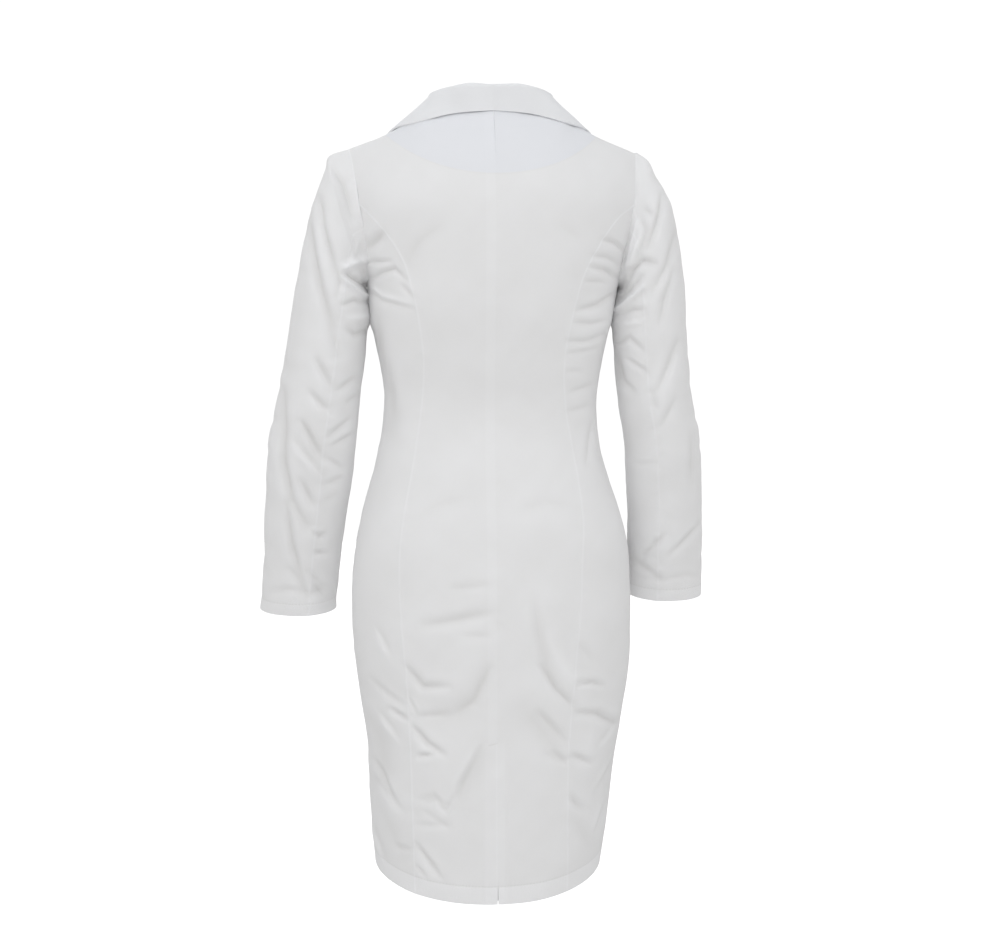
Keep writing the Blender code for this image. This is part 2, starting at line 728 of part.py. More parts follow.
def lapel_point(side, across, along):
    """Point of a lapel. along runs up the roll line and across out to the lapel's edge."""
    height = mix(LAPEL_FOOT[side], ROLL_TOP[1], along)
    inner = Vector((front_edge(height), height))
    start, middle, end = Vector(LAPEL_FOOT_EDGE[side]), Vector(LAPEL_BULGE), Vector(LAPEL_POINT)
    outer = mix(mix(start, middle, along), mix(middle, end, along), along)
    spot = mix(inner, outer, across)
    lift = LAPEL_LIFT + LAPEL_SWELL * math.sin(math.pi * across) + LAPEL_EDGE_LIFT * across
    return on_body_at(side, FRONT, spot.x, spot.y, lift)


def build_lapels(collection):
    """The turned part of each front facing."""
    for side, side_name in SIDE_NAMES.items():
        def place(across, along, side=side):
            return lapel_point(side, across, along)

        sheet(f"lapel_{side_name}", LAPEL_COLUMNS, LAPEL_ROWS, place, collection)


def build_vent(collection):
    """The layer that lies under the back vent."""
    def place(across, along):
        height = mix(HEM + VENT_RISE, VENT_TOP, along)
        turn = turn_at(LEFT, mix(VENT_RIGHT, VENT_LEFT, across), height)
        return on_body(LEFT, BACK, turn, height - hem_drop(BACK, turn, height), -VENT_DEPTH)

    sheet("vent_underlap", VENT_COLUMNS, VENT_ROWS, place, collection)


def build_buttons(collection):
    """The row of buttons down the front overlap."""
    for index in range(BUTTON_COUNT):
        name = f"button_{index + 1}"
        height = BUTTON_TOP - index * BUTTON_PITCH
        disc = bmesh.new()
        ring = [disc.verts.new((point.radius, 0.0, point.height)) for point in BUTTON_PROFILE]
        edges = [disc.edges.new(pair) for pair in zip(ring[:-1], ring[1:])]
        bmesh.ops.spin(disc, geom=ring + edges, axis=(0, 0, 1), cent=(0, 0, 0),
                       angle=2.0 * math.pi, steps=BUTTON_SIDES, use_merge=True)
        bmesh.ops.remove_doubles(disc, verts=disc.verts, dist=0.00001)
        bmesh.ops.recalc_face_normals(disc, faces=disc.faces)
        mesh = bpy.data.meshes.new(name)
        disc.to_mesh(mesh)
        disc.free()
        button = add_object(name, mesh, collection, BUTTON_COLOUR, BUTTON_ROUGHNESS)
        normal = body_normal(RIGHT, FRONT, 0.0, height)
        button.location = on_body_at(RIGHT, FRONT, 0.0, height) + normal * BUTTON_LIFT
        button.rotation_euler = normal.to_track_quat("Z", "Y").to_euler()


def main():
    """Builds the dress."""
    for item in list(bpy.data.objects):
        bpy.data.objects.remove(item, do_unlink=True)
    collection = bpy.data.collections.new("office_dress")
    bpy.context.scene.collection.children.link(collection)
    build_body(collection)
    build_sleeves(collection)
    build_collar(collection)
    build_lapels(collection)
    build_vent(collection)
    build_buttons(collection)


main()
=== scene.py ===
"""Looks of the office dress: its cloth, seams, stitching, buttons and creases, with the light.

Sizes are in metres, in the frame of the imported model: +Z up, the front towards -Y and the wearer's
left towards +X, with the origin at the base of the neck. Only the creases' tables are in millimetres.
"""

import logging
import math
from dataclasses import dataclass, field
from enum import Enum
from functools import partial
from typing import Callable

import bmesh
import bpy
import numpy as np
from mathutils import Matrix, Vector


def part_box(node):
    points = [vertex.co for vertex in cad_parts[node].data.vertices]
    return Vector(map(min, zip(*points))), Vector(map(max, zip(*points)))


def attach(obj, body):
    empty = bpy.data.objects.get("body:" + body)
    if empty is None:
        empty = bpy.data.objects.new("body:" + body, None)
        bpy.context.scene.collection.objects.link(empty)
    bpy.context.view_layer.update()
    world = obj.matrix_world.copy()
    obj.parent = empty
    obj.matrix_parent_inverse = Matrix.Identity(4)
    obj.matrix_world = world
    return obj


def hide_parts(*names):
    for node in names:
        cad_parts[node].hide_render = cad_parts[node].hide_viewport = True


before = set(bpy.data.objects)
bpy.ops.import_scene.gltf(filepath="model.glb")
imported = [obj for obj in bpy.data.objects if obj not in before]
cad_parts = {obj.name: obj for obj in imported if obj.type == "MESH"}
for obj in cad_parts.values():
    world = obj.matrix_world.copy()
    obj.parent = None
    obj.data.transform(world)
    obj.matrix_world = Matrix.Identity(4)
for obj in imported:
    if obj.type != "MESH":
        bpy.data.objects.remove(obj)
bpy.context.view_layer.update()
LOG = logging.getLogger("office_dress")

VENT_TOP = -0.776
MILLIMETRE = 0.001
# Distances of the rows next to a sewn edge
EDGE_ROWS = (0.0008, 0.0018, 0.0032, 0.0052)

Grid = np.ndarray
Placer = Callable[[Grid, Grid], Grid]
Relief = Callable[[Grid, Grid, Grid], Grid]
Colour = tuple[float, float, float]
Spot = tuple[float, float]
Table = tuple[tuple[float, ...], ...]


class Named(Enum):
    """A choice whose name is part of a piece's name."""

    @property
    def word(self) -> str:
        """Name in small letters."""
        return self.name.lower()


class Side(Named):
    """Side of the dress, as the wearer has it. Its value is the sign of x."""

    LEFT = 1
    RIGHT = -1


class Face(Named):
    """Back or front of the dress. Its value is the sign of y."""

    BACK = 1
    FRONT = -1


class Form(Enum):
    """Form of a crease across its line."""

    TROUGH = "trough"
    RIDGE = "ridge"
    STEP = "step"


RIDGE, STEP = Form.RIDGE, Form.STEP


def ease(value: Grid) -> Grid:
    """Smooth step from 0 to 1."""
    held = np.clip(value, 0.0, 1.0)
    return held * held * (3.0 - 2.0 * held)


def mix(first: Grid, second: Grid, share: Grid) -> Grid:
    """Straight blend of two values."""
    return first + (second - first) * share


def power(value: Grid, exponent: float) -> Grid:
    """Power that keeps the sign."""
    return np.sign(value) * np.abs(value) ** exponent


def bell(value: Grid, width: float) -> Grid:
    """Bell that is 1 at 0 and falls off over a width."""
    return np.exp(-((value / width) ** 2))


def curve_value(keys: Grid, values: Grid, key: Grid) -> Grid:
    """Reads a smooth curve through the rows of a table.

    Args:
        keys: The rows' keys, rising.
        values: The rows' values.
        key: Where to read the curve.

    Returns:
        The values at each key.
    """
    keys, values = np.asarray(keys, float), np.asarray(values, float)
    last, rows = len(keys) - 1, np.arange(len(keys))
    held = np.clip(key, keys[0], keys[-1])
    index = np.clip(np.searchsorted(keys, held, side="left") - 1, 0, last - 1)
    low, high = np.maximum(rows - 1, 0), np.minimum(rows + 1, last)
    slopes = (values[high] - values[low]) / (keys[high] - keys[low])
    span = keys[index + 1] - keys[index]
    t = (held - keys[index]) / span
    return (
        (2 * t**3 - 3 * t**2 + 1) * values[index]
        + (t**3 - 2 * t**2 + t) * slopes[index] * span
        + (3 * t**2 - 2 * t**3) * values[index + 1]
        + (t**3 - t**2) * slopes[index + 1] * span
    )


def touch(z: Grid, low: Spot = (-0.266, 0.014), high: Spot = (-0.206, 0.012)) -> Grid:
    """Height band below the armhole where a sleeve lies against the side."""
    return ease((z - low[0]) / low[1]) * ease((high[0] - z) / high[1])


def outward(points: Grid) -> Grid:
    """Direction of points away from the dress's upright axis."""
    return points * np.array([1.0, 1.0, 0.0])


@dataclass(frozen=True)
class Ripple:
    """Soft unevenness of cloth, from a few crossed waves."""

    height: float
    size: float
    seed: int
    across: float = 1.0
    along: float = 1.0
    waves: int = 7

    def at(self, x: Grid, z: Grid) -> Grid:
        """Reads the unevenness.

        Args:
            x: Distance across the cloth.
            z: Distance along the cloth.

        Returns:
            How far the cloth stands out at each place.
        """
        x, z = self.across * x, self.along * z
        pick = np.random.RandomState(self.seed)
        total = np.zeros_like(x + z)
        for turn in range(self.waves):
            angle, phase = pick.uniform(0.0, math.pi), pick.uniform(0.0, 2.0 * math.pi)
            length = self.size * pick.uniform(0.45, 1.0)
            run = (x * math.cos(angle) + z * math.sin(angle)) * 2.0 * math.pi / length
            total = total + np.sin(run + phase + 0.8 * np.sin(run * 0.37 + turn))
        return self.height * (total / 4.0)


@dataclass(frozen=True)
class Crease:
    """One crease: its line in millimetres on the cloth as seen from its face, and its size."""

    line: tuple[Spot, ...]
    width: float
    depth: float
    form: Form = Form.TROUGH
    gain: float = 2.0
    spread: float = 0.82
    end: float = 0.35

    def profile(self, share: Grid, signed: Grid) -> Grid:
        """Height across the line for a depth of 1.

        Args:
            share: Distance from the line, as a share of the crease's reach.
            signed: The same, less than 0 on one side of the line.

        Returns:
            The height: a step, or a trough or ridge with a soft swell beside it.
        """
        if self.form is Form.STEP:
            return -0.62 * np.tanh(2.4 * signed) * np.exp(-(share**2) / 1.4)
        trough = 0.42 * bell(share, 2.0) - 1.15 * np.exp(-((1.22 * share) ** 1.55))
        return -trough if self.form is Form.RIDGE else trough

    def height(self, x: Grid, z: Grid) -> Grid:
        """Height that the crease gives the cloth.

        Args:
            x: Distance from the centre line, in metres.
            z: Height, in metres.

        Returns:
            How far the cloth stands out, in metres.
        """
        points = np.array(self.line) * MILLIMETRE
        runs = np.hypot(*np.diff(points, axis=0).T)
        total, passed = runs.sum(), 0.0
        nearest, signed, taper = np.full(np.shape(x), 1.0), np.zeros(np.shape(x)), np.ones(np.shape(x))
        for (x1, z1), (x2, z2), run in zip(points[:-1], points[1:], runs):
            t = np.clip(((x - x1) * (x2 - x1) + (z - z1) * (z2 - z1)) / run**2, 0.0, 1.0)
            dx, dz = x - mix(x1, x2, t), z - mix(z1, z2, t)
            distance = np.hypot(dx, dz)
            closer = distance < nearest
            side = np.sign(dx * (z2 - z1) - dz * (x2 - x1))
            along = (passed + t * run) / total
            nearest = np.where(closer, distance, nearest)
            signed = np.where(closer, distance * side, signed)
            swell = self.end + (1.0 - self.end) * np.sin(math.pi * along) ** 0.7
            taper = np.where(closer, swell, taper)
            passed += run
        reach = self.spread * self.width * MILLIMETRE
        return self.profile(nearest / reach, signed / reach) * taper * self.gain * self.depth * MILLIMETRE


def creases(*rows: tuple) -> tuple[Crease, ...]:
    """Makes creases from the rows of a table, in millimetres.

    Args:
        rows: Width, depth, then x and z of each point of the line, and the form if it is no trough.

    Returns:
        The creases.
    """
    made = []
    for width, depth, *line in rows:
        form = line.pop() if isinstance(line[-1], Form) else Form.TROUGH
        made.append(Crease(tuple(zip(line[::2], line[1::2])), width, depth, form))
    return tuple(made)


def creases_height(table: tuple[Crease, ...], x: Grid, z: Grid) -> Grid:
    """Height that several creases give the cloth together."""
    return sum((crease.height(x, z) for crease in table), np.zeros(np.shape(x)))


# Creases of the back of the skirt and bodice. Seen from behind, x runs towards the wearer's left
BACK_CREASES = creases(
    (9, 1.2, 58, -582, 13, -577), (12, 2.4, 92, -629, 52, -621, 10, -613), (9, 1.0, 44, -641, 10, -641),
    (9, 2.6, 114, -684, 94, -708, 62, -706), (7, 1.6, 150, -645, 137, -671, STEP),
    (9, 1.8, 11, -683, 30, -727, 48, -739), (12, 1.6, -46, -600, -58, -664, -72, -704),
    (7, 2.6, -56, -682, -76, -714, -98, -738), (12, 1.2, -64, -640, -80, -684, -98, -708, RIDGE),
    (9, 2.4, -53, -741, -87, -782), (7, 1.5, -70, -793, -88, -810),
    (6, 2.2, -103, -708, -122, -710, -138, -717), (8, 3.0, -101, -746, -131, -754, -163, -780),
    (7, 2.8, -97, -802, -124, -819), (6, 1.4, -96, -861, -108, -877), (7, 1.8, -156, -827, -132, -854, STEP),
    (7, 1.6, -141, -886, -129, -913, STEP), (7, 1.4, 104, -748, 65, -742),
    (8, 3.4, 106, -762, 88, -782, 68, -794), (6, 1.5, 101, -801, 83, -796),
    (9, 2.0, 25, -786, 48, -831, 56, -860, STEP), (7, 1.0, 93, -872, 63, -889),
    (7, 2.6, 102, -919, 73, -956), (5, 1.2, 103, -946, 92, -958), (6, 1.5, 136, -744, 114, -751),
    (7, 2.0, 147, -755, 127, -780, STEP), (8, 2.6, 156, -824, 131, -864),
    (7, 2.0, 159, -922, 147, -954, STEP), (10, 3.6, 158, -160, 149, -152, 139, -143),
    (5, 2.0, 158, -177, 128, -176), (6, 2.4, 154, -198, 139, -190, 125, -186, 111, -198),
    (6, 1.6, 115, -205, 102, -221), (5, 1.3, 153, -207, 139, -219, 106, -228, RIDGE),
    (6, 1.1, 154, -216, 139, -226, 101, -235), (12, 2.0, 149, -246, 143, -290, 141, -342),
    (10, 1.2, 134, -304, 129, -348, 130, -368), (8, 1.3, 160, -708, 138, -724, 120, -734),
    (8, 1.5, 155, -849, 134, -864, 119, -875), (6, 1.1, 100, -858, 80, -850, 64, -862),
    (7, 1.1, 100, -891, 62, -887), (6, 1.3, 131, -929, 110, -925), (4, 1.2, 111, -726, 103, -741),
    (8, 1.1, -106, -657, -122, -682), (8, 1.1, -60, -796, -86, -811), (8, 1.6, -136, -798, -154, -782, STEP),
    (6, 2.4, -134, -150, -152, -153, -167, -163), (6, 2.0, -122, -170, -140, -171, -157, -178),
    (6, 2.2, -119, -183, -140, -187, -158, -197), (6, 1.3, -113, -201, -139, -202),
    (7, 2.4, -103, -237, -130, -231, -155, -217), (6, 1.7, -100, -252, -122, -254, -146, -250),
    (7, 2.0, -92, -276, -118, -276, -142, -268), (6, 1.3, -94, -291, -133, -286),
    (6, 1.0, -93, -314, -111, -314), (7, 1.5, -97, -341, -129, -332), (7, 1.2, -92, -366, -124, -360),
    (8, 1.4, -128, -382, -119, -432), (12, 0.9, 72, -138, 96, -156, 110, -182),
    (12, 0.8, -76, -132, -104, -150), (14, 0.8, 30, -470, 70, -478, 104, -498),
    (14, 0.8, -24, -486, -64, -478, -100, -486), (24, 1.9, 9, -688, 28, -722, 54, -742, 88, -750),
    (26, 1.9, 14, -788, 33, -818, 54, -853), (20, 1.7, 162, -764, 148, -792, 146, -830, 158, -866),
    (18, 1.3, 150, -880, 136, -910, 122, -938), (24, 1.9, -37, -742, -63, -774, -90, -813),
    (18, 1.4, -56, -676, -76, -712, -95, -733), (20, 0.7, -108, -726, -124, -770, -114, -836, RIDGE),
    (8, 1.6, -96, -855, -105, -869, -116, -883), (14, 1.5, -101, -891, -124, -936),
    (5, 1.6, 134, -742, 115, -753), (5, 1.3, 92, -861, 78, -856, 66, -868, 54, -846),
    (5, 1.2, 98, -799, 81, -795), (20, 1.5, 139, -326, 129, -368, 133, -404),
)

# Creases of the front
FRONT_CREASES = creases(
    (8, 2.4, 104, -186, 128, -180, 152, -166), (7, 1.8, 112, -214, 134, -208, 150, -196),
    (8, 2.4, -108, -190, -132, -184, -156, -172), (7, 1.7, -114, -222, -140, -214),
    (9, 1.9, 26, -338, 62, -318, 104, -300), (9, 1.4, 30, -366, 72, -356, 112, -338),
    (9, 1.8, -30, -346, -70, -324, -112, -306), (9, 1.3, -34, -384, -78, -372, -116, -352),
    (11, 1.7, 34, -436, 80, -424, 120, -402), (11, 1.6, -30, -444, -74, -434, -118, -412),
    (10, 2.2, 40, -646, 82, -634, 124, -608), (8, 1.6, 60, -686, 104, -680, STEP),
    (10, 2.3, -38, -704, -82, -692, -126, -664), (9, 1.4, -56, -640, -90, -620),
    (9, 2.4, 48, -796, 82, -818, 114, -846), (9, 2.2, -56, -842, -82, -872, -104, -906),
    (8, 2.0, -116, -760, -146, -782, STEP), (8, 1.8, 128, -748, 150, -774, STEP),
    (8, 1.3, 30, -884, 52, -922),
)

# Creases of the sleeves, on the back and on the front of each
SLEEVE_CREASES = {
    (Side.LEFT, Face.BACK): creases(
        (7, 2.4, 205, -54, 188, -79, 181, -102, 176, -124), (17, 1.2, 196, -62, 187, -95, 181, -130),
        (8, 3.0, 217, -99, 213, -133, 202, -172, 193, -203),
        (10, 3.2, 231, -118, 227, -163, 218, -204, 205, -249, 197, -295),
        (9, 0.7, 221, -130, 215, -176, 204, -222, RIDGE), (8, 3.4, 188, -187, 175, -179, 158, -172, RIDGE),
        (6, 3.8, 186, -191, 172, -199, 160, -208), (3.2, 2.6, 191, -196, 173, -211, 158, -223, RIDGE),
        (4, 0.8, 188, -188, 179, -176, 173, -163, 168, -146, RIDGE),
        (6, 2.2, 192, -232, 175, -225, 160, -228), (9, 2.2, 185, -248, 173, -248, 160, -244, RIDGE),
        (6, 2.4, 186, -261, 175, -268, 160, -264), (6, 1.7, 193, -200, 196, -220),
        (8, 3.2, 223, -299, 204, -334), (8, 3.0, 232, -341, 210, -364), (8, 3.6, 244, -378, 220, -424),
        (8, 3.0, 251, -410, 224, -447, STEP), (8, 2.8, 248, -454, 233, -488),
        (10, 3.8, 268, -340, 269, -433, 260, -482, 241, -519), (9, 3.2, 268, -486, 262, -544, 248, -598),
        (7, 2.4, 200, -339, 177, -325), (6, 1.8, 187, -355, 175, -347), (7, 2.6, 210, -397, 184, -377),
        (6, 2.0, 206, -410, 181, -397), (6, 1.8, 213, -427, 194, -441), (6, 1.4, 229, -534, 217, -527),
        (6, 1.5, 232, -555, 215, -557), (7, 2.0, 243, -580, 221, -604),
        (9, 2.0, 266, -576, 248, -604, 242, -618), (8, 2.2, 238, -597, 222, -616),
        (5, 1.4, 235, -526, 220, -535), (5, 1.4, 234, -554, 221, -556), (6, 1.8, 216, -461, 196, -454),
        (5, 1.3, 218, -482, 202, -476), (8, 1.5, 292, -610, 266, -605, 242, -611, 216, -606),
    ),
    (Side.RIGHT, Face.BACK): creases(
        (8, 1.8, -190, -109, -204, -118), (8, 2.6, -215, -94, -210, -120, -195, -160),
        (9, 2.6, -234, -142, -219, -183, -202, -213), (8, 2.2, -229, -187, -217, -225, -212, -253),
        (7, 3.0, -183, -121, -189, -138, -177, -179, STEP),
        (5, 2.8, -157, -243, -175, -223, -191, -207, RIDGE),
        (6, 2.8, -168, -212, -176, -186, -190, -175, -207, -179),
        (6, 2.2, -165, -222, -176, -208, -188, -196), (5, 2.0, -182, -125, -175, -162, -170, -198, RIDGE),
        (4, 1.6, -188, -143, -180, -164, -174, -184, RIDGE), (5, 1.9, -166, -244, -178, -237, -192, -237),
        (7, 1.7, -168, -256, -187, -253, RIDGE), (6, 2.4, -163, -280, -175, -273, -192, -288),
        (5, 2.0, -174, -300, -198, -317), (7, 2.6, -163, -296, -170, -329, -183, -343),
        (8, 1.4, -203, -340, -212, -366), (4, 1.1, -190, -438, -217, -436), (8, 2.0, -204, -567, -230, -535),
        (7, 2.6, -239, -563, -262, -541, -281, -524), (8, 2.0, -193, -573, -228, -598),
        (9, 2.4, -210, -343, -237, -279), (8, 1.8, -219, -385, -234, -355),
        (10, 1.6, -262, -400, -266, -470), (7, 1.0, -198, -596, -230, -600, -262, -594, -282, -598),
    ),
    (Side.LEFT, Face.FRONT): creases(
        (9, 2.4, 216, -96, 208, -140, 196, -190), (9, 2.6, 240, -300, 212, -330),
        (8, 2.8, 192, -318, 232, -346), (8, 3.2, 188, -352, 240, -384), (8, 2.8, 192, -392, 250, -408),
        (8, 2.0, 204, -436, 256, -440), (9, 2.0, 262, -540, 238, -590),
    ),
    (Side.RIGHT, Face.FRONT): creases(
        (9, 2.4, -220, -92, -210, -138, -198, -186), (9, 2.4, -238, -290, -210, -322),
        (8, 2.8, -190, -322, -234, -350), (8, 3.0, -186, -358, -238, -388), (8, 2.6, -190, -398, -244, -412),
        (9, 2.0, -250, -520, -222, -572),
    ),
}

# Creases on the outer side of both sleeves, as distances towards the back
OUTER_CREASES = creases(
    (13, 0.8, -44, -318, -12, -340, 26, -328), (11, 0.9, -50, -362, -14, -384, 30, -374),
    (11, 0.8, -50, -408, -18, -424, 8, -418), (12, 0.7, 4, -288, 26, -312), (9, 0.9, -58, -456, -30, -470),
    (11, 0.9, -60, -530, -36, -556, -20, -590), (16, 0.6, -18, -110, -2, -160, -8, -214),
)


@dataclass(frozen=True)
class DressForm:
    """Worn form of the dress: its sections, shoulder, armholes and seams."""

    roundness: float = 2.3
    hem: float = -0.975
    hem_dip: float = 0.016
    hem_dip_reach: float = 0.30
    underarm_base: float = -0.230
    underarm: float = -0.205
    seam_top: float = -0.104
    seam_run_out: float = -0.160
    break_point: float = -0.300
    neck_width: float = 0.080
    nape: float = 0.012
    shoulder_drop: float = 0.120
    tip_left: float = 0.181
    tip_right: float = 0.189
    armhole_reach_back: float = 0.40
    armhole_reach_front: float = 0.47
    overlap: float = 0.018
    overlap_depth: float = 0.0032
    overlap_fade: float = 0.050
    bust_place: Spot = (0.082, -0.238)
    bust_size: Spot = (0.058, 0.070)
    bust_depth: float = 0.014
    roll_top: Spot = (0.062, -0.050)
    # height, left, right, back, front
    sections: Table = (
        (-1.000, 0.155, 0.145, 0.133, 0.118), (-0.970, 0.158, 0.148, 0.133, 0.118),
        (-0.900, 0.163, 0.157, 0.131, 0.118), (-0.850, 0.165, 0.163, 0.129, 0.118),
        (-0.800, 0.167, 0.170, 0.128, 0.118), (-0.750, 0.174, 0.178, 0.127, 0.118),
        (-0.700, 0.181, 0.184, 0.127, 0.119), (-0.650, 0.184, 0.185, 0.127, 0.120),
        (-0.600, 0.184, 0.184, 0.125, 0.120), (-0.550, 0.179, 0.181, 0.120, 0.119),
        (-0.500, 0.169, 0.168, 0.111, 0.114), (-0.450, 0.155, 0.152, 0.097, 0.107),
        (-0.400, 0.143, 0.140, 0.083, 0.100), (-0.350, 0.139, 0.138, 0.080, 0.098),
        (-0.300, 0.145, 0.146, 0.089, 0.106), (-0.250, 0.156, 0.155, 0.099, 0.121),
        (-0.205, 0.159, 0.164, 0.104, 0.130), (-0.150, 0.171, 0.181, 0.106, 0.126),
        (-0.100, 0.181, 0.193, 0.104, 0.108), (-0.036, 0.181, 0.189, 0.090, 0.076),
        (0.000, 0.181, 0.189, 0.077, 0.060), (0.040, 0.181, 0.189, 0.064, 0.046),
    )
    # height, then the princess seam's distance from the centre: back left, back right, front
    seams: Table = (
        (-1.000, 0.105, 0.092, 0.096), (-0.800, 0.109, 0.092, 0.099), (-0.700, 0.114, 0.099, 0.101),
        (-0.620, 0.120, 0.106, 0.101), (-0.560, 0.122, 0.109, 0.099), (-0.500, 0.116, 0.111, 0.093),
        (-0.420, 0.101, 0.101, 0.084), (-0.360, 0.092, 0.091, 0.080), (-0.300, 0.089, 0.088, 0.083),
        (-0.230, 0.098, 0.100, 0.094), (-0.190, 0.108, 0.112, 0.108), (-0.165, 0.119, 0.125, 0.121),
        (-0.140, 0.135, 0.141, 0.137), (-0.120, 0.152, 0.158, 0.153), (-0.104, 0.168, 0.180, 0.167),
    )
    # distance from the centre, height
    shoulder_line: tuple[Spot, ...] = ((0.000, 0.046), (0.080, 0.016), (0.128, -0.0135), (0.185, -0.0365))

    def size(self, column: int, height: Grid) -> Grid:
        """One size of the body's section at a height."""
        table = np.array(self.sections)
        return curve_value(table[:, 0], table[:, column], height)

    def half_width(self, side: Side, height: Grid) -> Grid:
        """Distance of the side seam from the centre line."""
        return self.size(1 if side is Side.LEFT else 2, height)

    def tip(self, side: Side) -> float:
        """Distance of the shoulder's tip from the centre line."""
        return self.tip_left if side is Side.LEFT else self.tip_right

    def shoulder(self, distance: Grid) -> Grid:
        """Height of the shoulder seam at a distance from the centre line."""
        table = np.array(self.shoulder_line)
        return curve_value(table[:, 0], table[:, 1], np.abs(distance))

    def turn_at(self, side: Side, distance: Grid, height: Grid) -> Grid:
        """Turn round the section of a point at a distance from the centre line."""
        share = power(distance / self.half_width(side, height), self.roundness / 2.0)
        return np.arccos(np.clip(share, -1.0, 1.0))

    def distance_at(self, side: Side, turn: Grid, height: Grid) -> Grid:
        """Distance from the centre line of a point at a turn round the section."""
        return self.half_width(side, height) * power(np.cos(turn), 2.0 / self.roundness)

    def point(self, side: Side, face: Face, turn: Grid, height: Grid, lift: Grid = 0.0) -> Grid:
        """Places a point of the body's cloth.

        Args:
            side: Side of the dress.
            face: Back or front.
            turn: Turn round the section, from the side seam.
            height: Height of the point.
            lift: How far it stands out from the plain form.

        Returns:
            The points, with x, y and z last.
        """
        distance = self.distance_at(side, turn, height)
        round_off = np.abs(np.sin(turn)) ** (2.0 / self.roundness)
        depth = self.size(3 if face is Face.BACK else 4, height) * round_off
        if face is Face.FRONT:
            aside = (np.abs(distance) - self.bust_place[0]) / self.bust_size[0]
            above = (height - self.bust_place[1]) / self.bust_size[1]
            depth = depth + self.bust_depth * np.exp(-(aside**2 + above**2)) * round_off
        rest = 1.0 - np.clip((self.shoulder(distance) - height) / self.shoulder_drop, 0.0, 1.0)
        depth = depth * np.sqrt(1.0 - rest**2)
        x = side.value * (distance + lift * np.cos(turn))
        y = face.value * (depth + lift * np.sin(turn))
        return np.stack(np.broadcast_arrays(x, y, height), axis=-1)

    def point_at(self, side: Side, face: Face, distance: Grid, height: Grid, lift: Grid = 0.0) -> Grid:
        """Point of the body's cloth at a distance from the centre line."""
        return self.point(side, face, self.turn_at(side, distance, height), height, lift)

    def armhole_height(self, angle: Grid) -> Grid:
        """Height of the armhole's edge at an angle round it."""
        return mix(self.underarm, self.shoulder(self.tip_left), (1.0 - np.cos(angle)) / 2.0)

    def armhole_angle(self, height: Grid) -> Grid:
        """Angle round the armhole at a height."""
        share = (height - self.underarm) / (self.shoulder(self.tip_left) - self.underarm)
        return np.arccos(1.0 - 2.0 * np.clip(share, 0.0, 1.0))

    def armhole_turn(self, face: Face, height: Grid) -> Grid:
        """Turn of the armhole's edge at a height."""
        reach = self.armhole_reach_back if face is Face.BACK else self.armhole_reach_front
        return reach * np.sin(self.armhole_angle(height))

    def armhole_distance(self, side: Side, face: Face, height: Grid) -> Grid:
        """Distance of the armhole's edge from the centre line."""
        return self.distance_at(side, self.armhole_turn(face, height), height)

    def princess_distance(self, side: Side, face: Face, height: Grid) -> Grid:
        """Distance of the princess seam from the centre line.

        Args:
            side: Side of the dress.
            face: Back or front.
            height: Where to read it.

        Returns:
            The distance, which runs out into the armhole at the seam's top.
        """
        table = np.array(self.seams)
        column = 3 if face is Face.FRONT else 1 if side is Side.LEFT else 2
        distance = curve_value(table[:, 0], table[:, column], height)
        miss = self.armhole_distance(side, face, self.seam_top) - table[-1, column]
        run = (height - self.seam_run_out) / (self.seam_top - self.seam_run_out)
        return distance + miss * ease(run)

    def princess_turn(self, side: Side, face: Face, height: Grid) -> Grid:
        """Turn of the princess seam at a height."""
        return self.turn_at(side, self.princess_distance(side, face, height), height)

    def front_edge(self, height: Grid) -> Grid:
        """Distance of a front panel's edge from the centre line."""
        share = (height - self.break_point) / (self.roll_top[1] - self.break_point)
        return -self.overlap + (self.roll_top[0] + self.overlap) * np.maximum(0.0, share)

    def dip(self, face: Face, turn: Grid, height: Grid) -> Grid:
        """How far the rows near the back hem hang below their height at the side."""
        fade = 1.0 - ease((height - self.hem) / self.hem_dip_reach)
        return self.hem_dip * np.sin(turn) ** 2 * fade * (face is Face.BACK)

    def neckline(self, distance: Grid) -> Grid:
        """Height of the back neck edge at a distance from the centre line."""
        return mix(self.nape, self.shoulder(self.neck_width), (distance / self.neck_width) ** 3)

    def under_lift(self, side: Side, face: Face, distance: Grid) -> Grid:
        """How far the left front lies inside the right one where they overlap."""
        fade = 1.0 - ease((distance - self.overlap) / self.overlap_fade)
        return -self.overlap_depth * fade * (face is Face.FRONT and side is Side.LEFT)

    def centre_turn(self, side: Side, face: Face, across: Grid, height: Grid) -> Grid:
        """Turn of a point of a centre panel below the top of the princess seam."""
        inner = 0.0 * height if face is Face.BACK else self.front_edge(height)
        return mix(self.turn_at(side, inner, height), self.princess_turn(side, face, height), across)

